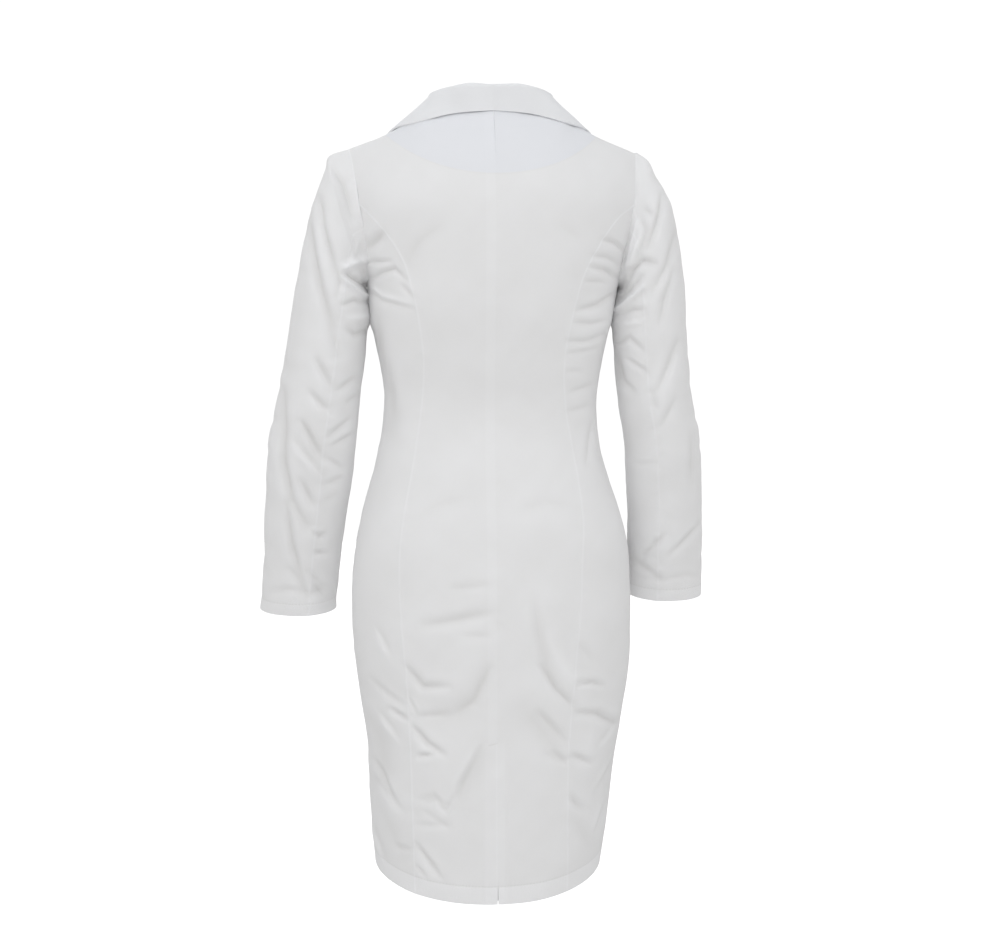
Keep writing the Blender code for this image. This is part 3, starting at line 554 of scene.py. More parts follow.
    def centre_panel(self, side: Side, face: Face, across: Grid, along: Grid) -> Grid:
        """Places a centre panel.

        Args:
            side: Side of the dress.
            face: Back or front.
            across: Share from the inner edge to the princess seam.
            along: 0 at the hem, 1 at the top of the princess seam and 2 at the shoulder.

        Returns:
            The points, with x, y and z last.
        """
        height = mix(self.hem, self.seam_top, np.minimum(along, 1.0))
        turn = self.centre_turn(side, face, across, height)
        lift = self.under_lift(side, face, self.distance_at(side, turn, height))
        lower = self.point(side, face, turn, height - self.dip(face, turn, height), lift)
        rise = 1.0 - (1.0 - np.clip(along - 1.0, 0.0, 1.0)) ** 2
        tip, top = self.tip(side), np.full(np.shape(across), self.seam_top)
        start = 0.0 * top if face is Face.BACK else self.front_edge(top)
        end = self.princess_distance(side, face, top)
        low = self.distance_at(side, self.centre_turn(side, face, across, top), top)
        low = (low - start) / (end - start)
        neck = self.neck_width / tip
        if face is Face.BACK:
            high = np.where(across < 0.5, 2.0 * across * neck, mix(neck, 1.0, 2.0 * across - 1.0))
            inner = 0.0 * top
            summit = np.where(across < 0.5, self.neckline(high * tip), self.shoulder(high * tip))
        else:
            high = across
            inner = self.front_edge(mix(self.seam_top, self.shoulder(self.neck_width), rise))
            summit = self.shoulder(mix(self.neck_width, tip, high))
        edge = self.armhole_distance(side, face, mix(self.seam_top, self.shoulder(tip), rise))
        distance = mix(inner, edge, mix(low, high, rise))
        lift = self.under_lift(side, face, distance)
        upper = self.point_at(side, face, distance, mix(self.seam_top, summit, rise), lift)
        return np.where((along <= 1.0)[..., None], lower, upper)

    def side_panel(self, side: Side, face: Face, across: Grid, along: Grid) -> Grid:
        """Places a side panel.

        Args:
            side: Side of the dress.
            face: Back or front.
            across: Share from the princess seam to the side seam.
            along: Share up from the hem.

        Returns:
            The points, with x, y and z last.
        """
        height = mix(self.hem, self.seam_top, along)
        top = self.armhole_height(self.armhole_angle(self.seam_top) * (1.0 - across))
        rise = np.clip((height - self.underarm_base) / (self.seam_top - self.underarm_base), 0.0, 1.0)
        height = np.where(rise > 0.0, mix(self.underarm_base, top, rise), height)
        turn = self.princess_turn(side, face, height) * (1.0 - across)
        miss = self.armhole_turn(face, top) - self.princess_turn(side, face, top) * (1.0 - across)
        turn = turn + rise**2 * miss
        return self.point(side, face, turn, height - self.dip(face, turn, height))


@dataclass(frozen=True)
class ArmForm:
    """Form of one sleeve: its sections from the armhole to the cuff."""

    side: Side
    body: DressForm
    # outer x, outer z, inner x, inner z, middle y, half depth, lean
    sections: Table
    back_seam_top: float = 1.38
    back_seam_low: float = 1.27
    back_seam_bend: float = 3.0
    front_seam: float = -0.75
    armhole_sections: float = 3.0

    def size(self, column: int, along: Grid) -> Grid:
        """One size of the sleeve's sections."""
        table = np.array(self.sections)
        return curve_value(np.arange(len(table)), table[:, column], along * (len(table) - 1))

    def axis(self, along: Grid) -> Grid:
        """Middle of the sleeve's sections."""
        x = self.side.value * (self.size(0, along) + self.size(2, along)) / 2.0
        z = (self.size(1, along) + self.size(3, along)) / 2.0
        return np.stack([x, self.size(4, along), z], axis=-1)

    def from_axis(self, points: Grid) -> Grid:
        """Direction of points away from the sleeve's middle."""
        heights = np.array([row[1] for row in self.sections])
        rows = np.interp(-points[..., 2], -heights, np.linspace(0.0, 1.0, len(heights)))
        return points - self.axis(rows)

    def section(self, turn: Grid, along: Grid) -> Grid:
        """Places a point of the sleeve's plain section.

        Args:
            turn: Turn round the section, 0 at the inner side.
            along: Share from the armhole to the cuff.

        Returns:
            The points, with x, y and z last.
        """
        half_x = self.side.value * (self.size(0, along) - self.size(2, along)) / 2.0
        half_z = (self.size(1, along) - self.size(3, along)) / 2.0
        back = self.size(5, along) * np.sin(turn)
        middle = self.axis(along)
        x = middle[..., 0] - half_x * np.cos(turn)
        z = middle[..., 2] - half_z * np.cos(turn) - self.size(6, along) * back
        return np.stack([x, middle[..., 1] + back, z], axis=-1)

    def armhole(self, turn: Grid) -> Grid:
        """Places a point of the armhole's edge.

        Args:
            turn: Turn round it, 0 at the underarm.

        Returns:
            The points, with x, y and z last.
        """
        height = np.minimum(self.body.armhole_height(turn), self.body.shoulder(self.body.tip(self.side)))
        back, front = (
            self.body.point(self.side, face, self.body.armhole_turn(face, height), height) for face in Face
        )
        return np.where((np.sin(turn) >= 0.0)[..., None], back, front)

    def point(self, turn: Grid, along: Grid) -> Grid:
        """Point of the sleeve, which starts in the armhole's own shape."""
        near = 1.0 - ease(along * (len(self.sections) - 1) / self.armhole_sections)
        miss = self.armhole(turn) - self.section(turn, 0.0 * along)
        return self.section(turn, along) + miss * near[..., None]

    def back_seam(self, along: Grid) -> Grid:
        """Turn of the back seam, from the armhole down."""
        return mix(self.back_seam_top, self.back_seam_low, ease(along * self.back_seam_bend))

    def upper(self, across: Grid, up: Grid) -> Grid:
        """Upper piece of the sleeve, from the cuff up."""
        turn = mix(self.back_seam(1.0 - up), 2.0 * math.pi + self.front_seam, across)
        return self.point(turn, 1.0 - up)

    def under(self, across: Grid, up: Grid) -> Grid:
        """Under piece of the sleeve, from the cuff up."""
        return self.point(mix(self.front_seam, self.back_seam(1.0 - up), across), 1.0 - up)


BODY = DressForm()
ARMS = {
    Side.LEFT: ArmForm(Side.LEFT, BODY, (
        (0.181, -0.038, 0.159, -0.205, 0.000, 0.050, 0.00),
        (0.206, -0.046, 0.162, -0.210, 0.001, 0.054, 0.00),
        (0.211, -0.062, 0.162, -0.217, 0.002, 0.057, 0.00),
        (0.223, -0.092, 0.161, -0.226, 0.003, 0.058, 0.00),
        (0.234, -0.131, 0.160, -0.238, 0.004, 0.058, 0.00),
        (0.250, -0.203, 0.160, -0.262, 0.003, 0.057, 0.00),
        (0.264, -0.281, 0.165, -0.305, 0.000, 0.056, 0.02),
        (0.277, -0.347, 0.172, -0.358, -0.005, 0.055, 0.05),
        (0.288, -0.393, 0.177, -0.400, -0.011, 0.054, 0.08),
        (0.294, -0.440, 0.182, -0.445, -0.018, 0.051, 0.11),
        (0.299, -0.510, 0.193, -0.512, -0.028, 0.045, 0.13),
        (0.303, -0.572, 0.202, -0.573, -0.036, 0.038, 0.14),
        (0.310, -0.638, 0.208, -0.638, -0.044, 0.033, 0.15),
    )),
    Side.RIGHT: ArmForm(Side.RIGHT, BODY, (
        (0.189, -0.034, 0.164, -0.205, 0.000, 0.050, 0.00),
        (0.203, -0.045, 0.167, -0.210, 0.001, 0.054, 0.00),
        (0.212, -0.064, 0.166, -0.217, 0.002, 0.057, 0.00),
        (0.224, -0.086, 0.164, -0.226, 0.003, 0.058, 0.00),
        (0.237, -0.119, 0.162, -0.238, 0.004, 0.058, 0.00),
        (0.251, -0.203, 0.160, -0.262, 0.003, 0.057, 0.00),
        (0.257, -0.275, 0.163, -0.303, 0.000, 0.056, 0.02),
        (0.265, -0.346, 0.169, -0.355, -0.005, 0.055, 0.05),
        (0.276, -0.396, 0.177, -0.400, -0.011, 0.054, 0.08),
        (0.283, -0.450, 0.183, -0.452, -0.019, 0.050, 0.11),
        (0.287, -0.515, 0.187, -0.515, -0.028, 0.044, 0.13),
        (0.290, -0.573, 0.189, -0.571, -0.036, 0.038, 0.14),
        (0.291, -0.626, 0.191, -0.624, -0.043, 0.034, 0.15),
    )),
}


@dataclass(frozen=True)
class CollarForm:
    """Form of the turned-down collar, from the middle of the back round to its front end."""

    body: DressForm
    # roll x, y, z, then lower edge x, y, z
    lines: Table = (
        (0.000, 0.052, 0.041, 0.000, 0.0580, 0.009), (0.038, 0.046, 0.041, 0.049, 0.0485, 0.006),
        (0.067, 0.025, 0.036, 0.095, 0.0350, -0.004), (0.077, -0.006, 0.030, 0.126, -0.001, -0.009),
        (0.0745, -0.043, -0.002, 0.135, -0.029, -0.026), (0.064, -0.079, -0.046, 0.128, -0.058, -0.056),
    )
    roll_radius: Spot = (0.0040, 0.0026)
    stand_gap: float = 0.0008
    clear: float = 0.0042
    notch: Spot = (0.100, -0.0740)
    notch_place: float = 0.6
    notch_reach: float = 0.78
    stand: float = 0.2
    roll: float = 0.3
    step: float = 0.01

    def line(self, first: int, along: Grid) -> Grid:
        """Point of the roll line, or of the lower edge."""
        table = np.array(self.lines)
        keys, key = np.arange(len(table)), along * (len(table) - 1)
        return np.stack([curve_value(keys, table[:, first + k], key) for k in range(3)], axis=-1)

    def foot(self, along: Grid) -> Grid:
        """Places the foot of the stand.

        Args:
            along: Share along the neck edge, and from 0.5 on down the front to the lapel.

        Returns:
            The points, with x, y and z last.
        """
        distance = self.body.neck_width * np.sin(np.minimum(along, 0.5) * math.pi)
        back = self.body.point_at(Side.LEFT, Face.BACK, distance, self.body.neckline(distance))
        share = np.maximum(along * 2.0 - 1.0, 0.0)
        height = mix(self.body.shoulder(self.body.neck_width), self.body.roll_top[1], share)
        front = self.body.point_at(Side.LEFT, Face.FRONT, self.body.front_edge(height), height)
        none = 0.0 * share
        back = back + np.stack([none, none, none + self.stand_gap], axis=-1)
        front = front + self.stand_gap * np.stack([-share, none, 1.0 - share], axis=-1)
        return np.where((along <= 0.5)[..., None], back, front)

    def cleared(self, points: Grid) -> Grid:
        """Keeps the fall clear of the front under it.

        Args:
            points: The collar's points.

        Returns:
            The points, moved forward where they would touch the front.
        """
        x, z = points[..., 0], points[..., 2]
        surfaces = [self.body.point_at(side, Face.FRONT, x, z)[..., 1] for side in Side]
        low = np.minimum(*surfaces) - self.clear
        over = (points[..., 1] < 0.0) & (z < self.body.shoulder(x))
        points[..., 1] = np.where(over, np.minimum(points[..., 1], low), points[..., 1])
        return points

    def place(self, across: Grid, along: Grid) -> Grid:
        """Places the collar.

        Args:
            across: Share up the stand, round the roll and down the fall.
            along: Share from its right end to its left end.

        Returns:
            The points, with x, y and z last.
        """
        reach, sign = np.abs(along * 2.0 - 1.0), np.where(along < 0.5, -1.0, 1.0)
        roll, edge = self.line(0, reach), self.line(3, reach)
        away = outward(edge - roll)
        away /= np.linalg.norm(away, axis=-1, keepdims=True)
        ahead, behind = np.minimum(1.0, reach + self.step), np.maximum(0.0, reach - self.step)
        crest = np.cross(self.line(0, ahead) - self.line(0, behind), away)
        crest /= np.linalg.norm(crest, axis=-1, keepdims=True)
        radius = mix(*self.roll_radius, ease(reach))[..., None]
        centre = roll - crest * radius
        turned_at = self.stand + self.roll
        up = np.clip(across / self.stand, 0.0, 1.0)[..., None]
        over = np.clip((across - self.stand) / self.roll, 0.0, 1.0)[..., None]
        down = np.clip((across - turned_at) / (1.0 - turned_at), 0.0, 1.0)
        stand = mix(self.foot(reach), centre - away * radius, up)
        angle = math.pi * (1.0 - over)
        turned = centre + (away * np.cos(angle) + crest * np.sin(angle)) * radius
        start = centre + away * radius
        fall = mix(start, edge, down[..., None])
        dip = np.minimum(down / self.notch_place, (1.0 - down) / (1.0 - self.notch_place))
        flat = np.zeros(np.shape(across))
        notch = np.stack([flat + self.notch[0], edge[..., 1], flat + self.notch[1]], axis=-1)
        fade = ease((reach - self.notch_reach) / (1.0 - self.notch_reach))
        fall = fall + (notch - mix(start, edge, self.notch_place)) * (dip * fade)[..., None]
        rows = self.cleared(np.where(up < 1.0, stand, np.where(over < 1.0, turned, fall)))
        rows[..., 0] *= sign
        return rows


@dataclass(frozen=True)
class LapelForm:
    """Form of one lapel, turned back on the front from its roll line."""

    side: Side
    body: DressForm
    point: Spot = (0.135, -0.100)
    belly: Spot = (0.106, -0.205)
    # where the roll line and the outer edge start, on the left and on the right
    feet: Spot = (-0.232, -0.285)
    starts: tuple[Spot, Spot] = ((0.018, -0.262), (0.004, -0.297))
    lift: float = 0.0026
    swell: float = 0.0032
    edge_lift: float = 0.0018
    fold: float = 0.05

    def place(self, across: Grid, along: Grid) -> Grid:
        """Places the lapel.

        Args:
            across: Share from the roll line out to the edge.
            along: Share up the roll line.

        Returns:
            The points, with x, y and z last.
        """
        index = 0 if self.side is Side.LEFT else 1
        height = mix(self.feet[index], self.body.roll_top[1], along)
        inner = self.body.front_edge(height)
        x, z = (
            mix(mix(start, belly, along), mix(belly, point, along), along)
            for start, belly, point in zip(self.starts[index], self.belly, self.point)
        )
        rise = np.sqrt(np.clip(across / self.fold, 0.0, 1.0))
        lift = self.lift * rise + self.swell * np.sin(math.pi * across) + self.edge_lift * across
        return self.body.point_at(self.side, Face.FRONT, mix(inner, x, across), mix(height, z, across), lift)


@dataclass(frozen=True)
class Value:
    """A number or colour that varies over a surface: a socket with Python's operators."""

    maker: "Finish"
    socket: bpy.types.NodeSocket

    def math(self, operation: str, *others: object, clamp: bool = False) -> "Value":
        """Adds a Math node on this value and others."""
        sockets = dict(enumerate((self, *others)))
        return self.maker.node("ShaderNodeMath", {"operation": operation, "use_clamp": clamp}, sockets)

    def __add__(self, other: object) -> "Value":
        """Sum."""
        return self.math("ADD", other)

    __radd__ = __add__

    def __mul__(self, other: object) -> "Value":
        """Product."""
        return self.math("MULTIPLY", other)

    __rmul__ = __mul__

    def __sub__(self, other: object) -> "Value":
        """Difference."""
        return self.math("SUBTRACT", other)

    def __rsub__(self, other: object) -> "Value":
        """Difference from a plain number."""
        return self * -1.0 + other

    def __truediv__(self, other: object) -> "Value":
        """Quotient."""
        return self.math("DIVIDE", other)

    def bell(self, middle: float, width: float) -> "Value":
        """Bell that is 1 at the middle and falls off over a width."""
        share = (self - middle) / width
        return (share * share * -1.0).math("EXPONENT")

    def above(self, edge: float, soft: float) -> "Value":
        """Mask that is 1 above an edge, over a soft width."""
        return ((self - edge) / soft + 0.5).math("ADD", 0.0, clamp=True)

    def parts(self) -> tuple["Value", ...]:
        """The parts of a vector."""
        split = self.maker.node("ShaderNodeSeparateXYZ", {}, {0: self}).socket.node
        return tuple(Value(self.maker, output) for output in split.outputs)


class Finish:
    """A material, with one method that adds any node."""

    def __init__(self, name: str, colour: Colour, roughness: float) -> None:
        """Starts the material with a colour and roughness of its own.

        Args:
            name: The material's name.
            colour: Its plain colour.
            roughness: Its plain roughness.
        """
        self.material = bpy.data.materials.new(name)
        self.material.use_nodes = True
        self.tree = self.material.node_tree
        self.shader = self.tree.nodes["Principled BSDF"]
        self.material.diffuse_color = (*colour, 1.0)
        self.set("Base Color", (*colour, 1.0))
        self.set("Roughness", roughness)

    def node(self, kind: str, settings: dict, sockets: dict, output: int | str = 0) -> Value:
        """Adds one node.

        Args:
            kind: The node's type.
            settings: What is set on the node first.
            sockets: Values or links for its inputs.
            output: The output that is wanted.

        Returns:
            The output's value.
        """
        added = self.tree.nodes.new(kind)
        for name, setting in settings.items():
            setattr(added, name, setting)
        for name, value in sockets.items():
            self.connect(added.inputs[name], value)
        return Value(self, added.outputs[output])

    def connect(self, socket: bpy.types.NodeSocket, value: object) -> None:
        """Gives a socket a link or a plain value."""
        if isinstance(value, Value):
            self.tree.links.new(value.socket, socket)
        else:
            socket.default_value = value

    def set(self, name: str, value: object) -> None:
        """Sets one of the shader's sockets."""
        self.connect(self.shader.inputs[name], value)

    def place(self) -> Value:
        """Place on the object, in metres."""
        return self.node("ShaderNodeTexCoord", {}, {}, "Object")

    def attribute(self, name: str) -> Value:
        """A value that the mesh carries."""
        return self.node("ShaderNodeAttribute", {"attribute_name": name}, {}, "Fac")

    def noise(self, where: Value, scale: float, detail: float = 2.0) -> Value:
        """Noise from 0 to 1 at a place."""
        sockets = {"Vector": where, "Scale": scale, "Detail": detail}
        return self.node("ShaderNodeTexNoise", {}, sockets, "Fac")

    def blend(self, share: object, first: object, second: object) -> Value:
        """Blend of two colours."""
        sockets = {"Factor": share, 6: first, 7: second}
        return self.node("ShaderNodeMix", {"data_type": "RGBA"}, sockets, 2)

    def bump(self, height: Value, distance: float) -> None:
        """Gives the shader a bump."""
        self.set("Normal", self.node("ShaderNodeBump", {}, {"Height": height, "Distance": distance}))


@dataclass(frozen=True)
class BackLayers:
    """Layers that show through the back: the neck facing, the centre seam's allowance and the vent's; the
    neck facing's cool tint is partly painted cool light.
    """

    neck_low: float = -0.070
    neck_bend: Spot = (2.1, 45.0)
    neck_step: float = 0.00022
    # Cool tint of the neck facing: partly the facing's own layer, partly painted cool light on the upper back
    tint: tuple[float, ...] = (0.820, 0.834, 0.872, 1.0)
    tint_share: float = 0.75
    vent_top: float = VENT_TOP - 0.003
    allowance: Spot = (0.0006, 0.0125)
    layers: Spot = (-0.009, 0.016)
    bar_height: float = VENT_TOP - 0.0035
    bar_width: float = 0.012
    bar_slope: float = 0.25
    fold_line: float = 0.0014
    princess_top: float = -0.185
    princess_clear: float = 0.0090

    def lay(self, finish: Finish, pressed: Value) -> tuple[Value, Value, Value]:
        """Works out what the layers do to the cloth.

        Args:
            finish: The cloth's material.
            pressed: Mask of the pressed line along each seam.

        Returns:
            What they add to the shade and to the height, and the neck facing's mask.
        """
        x, y, z = finish.place().parts()
        behind, square = y.above(0.0, 0.01), x * x
        line = z - (square * self.neck_bend[0] + square * square * self.neck_bend[1] + self.neck_low)
        neck = line.above(0.0, 0.002) * behind
        above_vent = z.above(self.vent_top, 0.002)
        allowance = x.above(self.allowance[0], 0.001) * (1.0 - x.above(self.allowance[1], 0.0015))
        layers = x.above(self.layers[0], 0.0015) * (1.0 - x.above(self.layers[1], 0.002))
        bar = (z + x * self.bar_slope).bell(self.bar_height, 0.0010)
        bar = bar * x.above(0.0, 0.001) * (1.0 - x.above(self.bar_width, 0.001))
        fold_line = x.bell(self.fold_line, 0.0009)
        princess = pressed * square.above(self.princess_clear, 0.003) * z.above(self.princess_top, 0.07)
        below = (layers * 0.07 + fold_line * 0.12) * (1.0 - above_vent)
        marks = line.bell(-0.0006, 0.0012) * 0.10 + bar * 0.28
        shade = behind * (marks - allowance * above_vent * 0.07 - below - princess * 0.20) - neck * 0.06
        return shade, line.above(0.0, 0.003) * behind * self.neck_step, neck


@dataclass(frozen=True)
class Suiting:
    """Smooth off-white stretch suiting, with its weave, stitched hem and pressed seams, and painted shade and
    light in its creases.
    """

    name: str
    # The cloth's own colour, and the darker, warmer colour that the stitching, the weave's clouds and the
    # painted crease shade blend towards
    colour: Colour = (0.938, 0.940, 0.950)
    shade: Colour = (0.760, 0.755, 0.748)
    stitch_height: float = 0.024
    hem_light: float = 0.26
    back: BackLayers | None = None
    thread: float = 0.00055
    stitch_pitch: float = 0.0042
    middle: float = 0.47

    def make(self) -> bpy.types.Material:
        """Makes the material.

        Returns:
            The material.
        """
        finish = Finish(self.name, self.colour, 0.78)
        across, along, _ = finish.node("ShaderNodeUVMap", {"uv_map": "cloth"}, {}).parts()
        seam, hem, valley = (finish.attribute(name) for name in ("seam", "hem", "valley"))
        place, turn = finish.place(), 2.0 * math.pi / self.thread
        weave = (across * turn).math("SINE") * (along * turn).math("SINE")
        slub, cloud = finish.noise(place, 420.0, 3.0), finish.noise(place, 14.0)
        pick = (across * (2.0 * math.pi / self.stitch_pitch)).math("SINE").above(-0.1, 0.9)
        stitch = hem.bell(self.stitch_height, 0.0009) * (pick * 0.7 + 0.3)
        turned_up = 1.0 - hem.above(self.stitch_height - 0.001, 0.002)
        groove, pressed = seam.bell(0.0, 0.0004), seam.bell(0.0004, 0.0009)
        shade = groove * 0.03 - pressed * 0.17 + stitch * 0.15
        shade = shade + hem.bell(0.0, 0.0012) * 0.08 - turned_up * self.hem_light
        # Painted shade in the creases' troughs and painted light where the cloth stands out; the clouds and
        # slubs are the cloth's own uneven tone
        shade = shade + (cloud - 0.5) * 0.10 + (slub - 0.5) * 0.08 + valley * 0.36
        height = weave * 0.00004 + slub * 0.00010 - stitch * 0.00030 - groove * 0.00006
        if self.back:
            layers_shade, layers_height, neck = self.back.lay(finish, pressed)
            shade, height = shade + layers_shade, height + layers_height
        share = shade.math("ADD", self.middle, clamp=True)
        colour = finish.blend(share, (*self.colour, 1.0), (*self.shade, 1.0))
        if self.back:
            # Painted cool light over the upper back, together with the neck facing's own tint
            colour = finish.blend(neck * self.back.tint_share, colour, self.back.tint)
        finish.set("Base Color", colour)
        finish.set("Roughness", 0.70 + slub * 0.14)
        finish.bump(height, 1.0)
        finish.set("Sheen Weight", 0.05)
        finish.set("Sheen Roughness", 0.45)
        finish.set("Specular IOR Level", 0.25)
        return finish.material


@dataclass(frozen=True)
class ButtonPlastic:
    """Glossy off-white plastic with a faint pearl cloud."""

    name: str = "button_plastic"
    light: Colour = (0.86, 0.85, 0.83)
    dark: Colour = (0.76, 0.75, 0.72)

    def make(self) -> bpy.types.Material:
        """Makes the material.

        Returns:
            The material.
        """
        finish = Finish(self.name, (0.84, 0.83, 0.80), 0.22)
        place = finish.place()
        cloud = finish.noise(place, 260.0)
        finish.set("Base Color", finish.blend(cloud, (*self.light, 1.0), (*self.dark, 1.0)))
        finish.set("Roughness", 0.16 + cloud * 0.14)
        finish.bump(finish.noise(place, 900.0), 0.00002)
        finish.set("Coat Weight", 0.3)
        return finish.material


@dataclass(frozen=True)
class Thread:
    """Sewing thread, and the painted shade of a button's holes."""

    name: str
    colour: Colour

    def make(self) -> bpy.types.Material:
        """Makes the material.

        Returns:
            The material.
        """
        finish = Finish(self.name, self.colour, 0.8)
        fibre = finish.noise(finish.place(), 2400.0)
        dark = tuple(0.75 * part for part in self.colour)
        finish.set("Base Color", finish.blend(fibre, (*self.colour, 1.0), (*dark, 1.0)))
        finish.bump(fibre, 0.00004)
        return finish.material


def stations(count: int, size: float, start: bool = True, end: bool = True, bias: float = 0.0) -> Grid:
    """Spreads a cloth's rows or columns, close together at its sewn edges.

    Args:
        count: Number of even steps.
        size: Length that they cover.
        start: Whether the first edge is sewn or folded.
        end: Whether the last edge is.
        bias: How much closer together they lie towards the end.

    Returns:
        The stations, from 0 to 1.
    """
    lead = np.array(EDGE_ROWS) / size
    low, high = (lead[-1] if start else 0.0), (1.0 - lead[-1] if end else 1.0)
    even = np.linspace(0.0, 1.0, count + 1)
    even = mix(low, high, even + bias * even * (1.0 - even))
    first = np.array([0.0, *lead[:-1]]) if start else np.zeros(0)
    last = np.array([*(1.0 - lead[:-1][::-1]), 1.0]) if end else np.zeros(0)
    return np.concatenate([first, even, last])


def add_object(name: str, mesh: bpy.types.Mesh) -> bpy.types.Object:
    """Adds a mesh to the scene as an object."""
    made = bpy.data.objects.new(name, mesh)
    bpy.context.scene.collection.objects.link(made)
    return made


def aim(item: bpy.types.Object, place: tuple[float, ...], target: tuple[float, ...]) -> None:
    """Adds a light or the camera to the scene in its place, turned to a target."""
    item.location = place
    item.rotation_euler = (Vector(target) - item.location).to_track_quat("-Z", "Y").to_euler()
    bpy.context.scene.collection.objects.link(item)


def hand_over(piece: bpy.types.Object, node: str) -> None:
    """Hands a piece to the frame in place of a node."""
    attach(piece, "root")
    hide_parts(node)


@dataclass
class Cloth:
    """One cut piece of cloth, laid on its form as a grid and given its thickness."""

    node: str
    place: Placer
    across: Grid
    along: Grid
    core: Callable[[Grid], Grid]
    relief: Relief
    finish: bpy.types.Material
    # which edges are sewn: first and last column, top and foot, with a distance that quietens each
    sewn: tuple[float | None, ...] = (0.0, 0.0, 0.0, None)
    hem: bool = True
    thickness: float = 0.0013
    ridge: float = 0.00022
    ridge_width: float = 0.0019
    # Depth below the plain form at which the painted crease shade is full
    valley_depth: float = 0.0045
    swell: float = 0.0
    swell_top: float = -0.045
    swell_fade: float = 0.05
    swell_place: float = 0.0015
    swell_width: float = 0.0026
    rim: float = 0.0
    run_u: Grid = field(init=False, repr=False)
    run_v: Grid = field(init=False, repr=False)

    def edge_distance(self, points: Grid) -> tuple[Grid, Grid]:
        """Measures how far each point lies from a sewn edge and from the hem.

        Args:
            points: The cloth's points by row and column.

        Returns:
            The distance to the nearest sewn edge, and the distance to the lower edge.
        """
        self.run_u, self.run_v = np.zeros(points.shape[:2]), np.zeros(points.shape[:2])
        self.run_u[:, 1:] = np.cumsum(np.linalg.norm(np.diff(points, axis=1), axis=2), axis=1)
        self.run_v[1:] = np.cumsum(np.linalg.norm(np.diff(points, axis=0), axis=2), axis=0)
        far = np.full(points.shape[:2], 1.0)
        choices = (self.run_u, self.run_u[:, -1:] - self.run_u, self.run_v[-1:] - self.run_v, self.run_v)
        for quiet, distance in zip(self.sewn, choices):
            if quiet is not None:
                far = np.minimum(far, distance + quiet)
        return far, self.run_v if self.hem else np.full(points.shape[:2], 1.0)

    def normals(self, points: Grid) -> Grid:
        """Outward directions of the cloth."""
        normal = np.cross(np.gradient(points, axis=1), np.gradient(points, axis=0))
        normal /= np.maximum(np.linalg.norm(normal, axis=2, keepdims=True), 1e-12)
        return normal * (1.0 if np.sum(normal * self.core(points)) > 0.0 else -1.0)

    def grid(self, points: Grid, values: dict[str, Grid]) -> bpy.types.Mesh:
        """Makes the cloth's mesh.

        Args:
            points: Its points by row and column.
            values: Values that it carries, by name.

        Returns:
            The mesh, with the values, its map along the cloth and its finish.
        """
        columns, rows = len(self.across) - 1, len(self.along) - 1
        grid = bmesh.new()
        bmesh.ops.create_grid(grid, x_segments=columns, y_segments=rows, size=0.5)
        mesh = bpy.data.meshes.new(f"cloth_{self.node}")
        grid.to_mesh(mesh)
        grid.free()
        flat = np.zeros(len(mesh.vertices) * 3)
        mesh.vertices.foreach_get("co", flat)
        flat = flat.reshape(-1, 3)
        i = np.rint((flat[:, 0] + 0.5) * columns).astype(int)
        j = np.rint((flat[:, 1] + 0.5) * rows).astype(int)
        mesh.vertices.foreach_set("co", points[j, i].ravel())
        for name, value in values.items():
            mesh.attributes.new(name, "FLOAT", "POINT").data.foreach_set("value", value[j, i])
        corner = np.zeros(len(mesh.loops), dtype=int)
        mesh.loops.foreach_get("vertex_index", corner)
        run_u, run_v = self.run_u[j, i], self.run_v[j, i]
        places = np.stack([run_u - run_u.mean(), run_v], axis=1)[corner]
        mesh.uv_layers.new(name="cloth").data.foreach_set("uv", places.ravel())
        mesh.shade_smooth()
        mesh.materials.append(self.finish)
        return mesh

    def build(self) -> None:
        """Builds the piece and hands it to the frame."""
        u, v = np.meshgrid(self.across, self.along)
        base = self.place(u, v)
        seam, hem = self.edge_distance(base)
        height = self.relief(base, seam, hem) + self.ridge * bell(seam, self.ridge_width)
        # Painted shade and light from the relief: deeper cloth, as in a crease's trough, is painted darker,
        # and cloth that stands out is painted lighter
        valley = np.clip(-height / self.valley_depth, -1.0, 1.0)
        cap = ease((self.swell_top - base[..., 2]) / self.swell_fade)
        height += self.swell * cap * bell(self.run_v[-1:] - self.run_v - self.swell_place, self.swell_width)
        points = base + self.normals(base) * height[..., None]
        mesh = self.grid(points, {"seam": seam, "hem": hem, "valley": valley})
        piece = add_object(mesh.name, mesh)
        wall = piece.modifiers.new("cloth", "SOLIDIFY")
        wall.thickness, wall.offset = self.thickness, 0.0
        if self.rim:
            round_rim = piece.modifiers.new("rim", "BEVEL")
            round_rim.width, round_rim.segments = self.rim, 2
            round_rim.limit_method, round_rim.angle_limit = "ANGLE", math.radians(50.0)
        else:
            self.sharpen(mesh)
        hand_over(piece, self.node)
        self.declare(piece, points)
        LOG.info("%s: %d by %d", mesh.name, len(self.across) - 1, len(self.along) - 1)

    @staticmethod
    def sharpen(mesh: bpy.types.Mesh) -> None:
        """Marks the cloth's cut edges as sharp, so that a seam between two pieces shows no groove."""
        edges = np.zeros(len(mesh.loops), dtype=int)
        mesh.loops.foreach_get("edge_index", edges)
        single = np.bincount(edges, minlength=len(mesh.edges)) == 1
        mesh.attributes.new("sharp_edge", "BOOLEAN", "EDGE").data.foreach_set("value", single)

    @staticmethod
    def declare(piece: bpy.types.Object, points: Grid) -> None:
        """Does nothing with the finished piece or its points.

        Args:
            piece: The finished piece. Not used.
            points: Its points by row and column. Not used.
        """


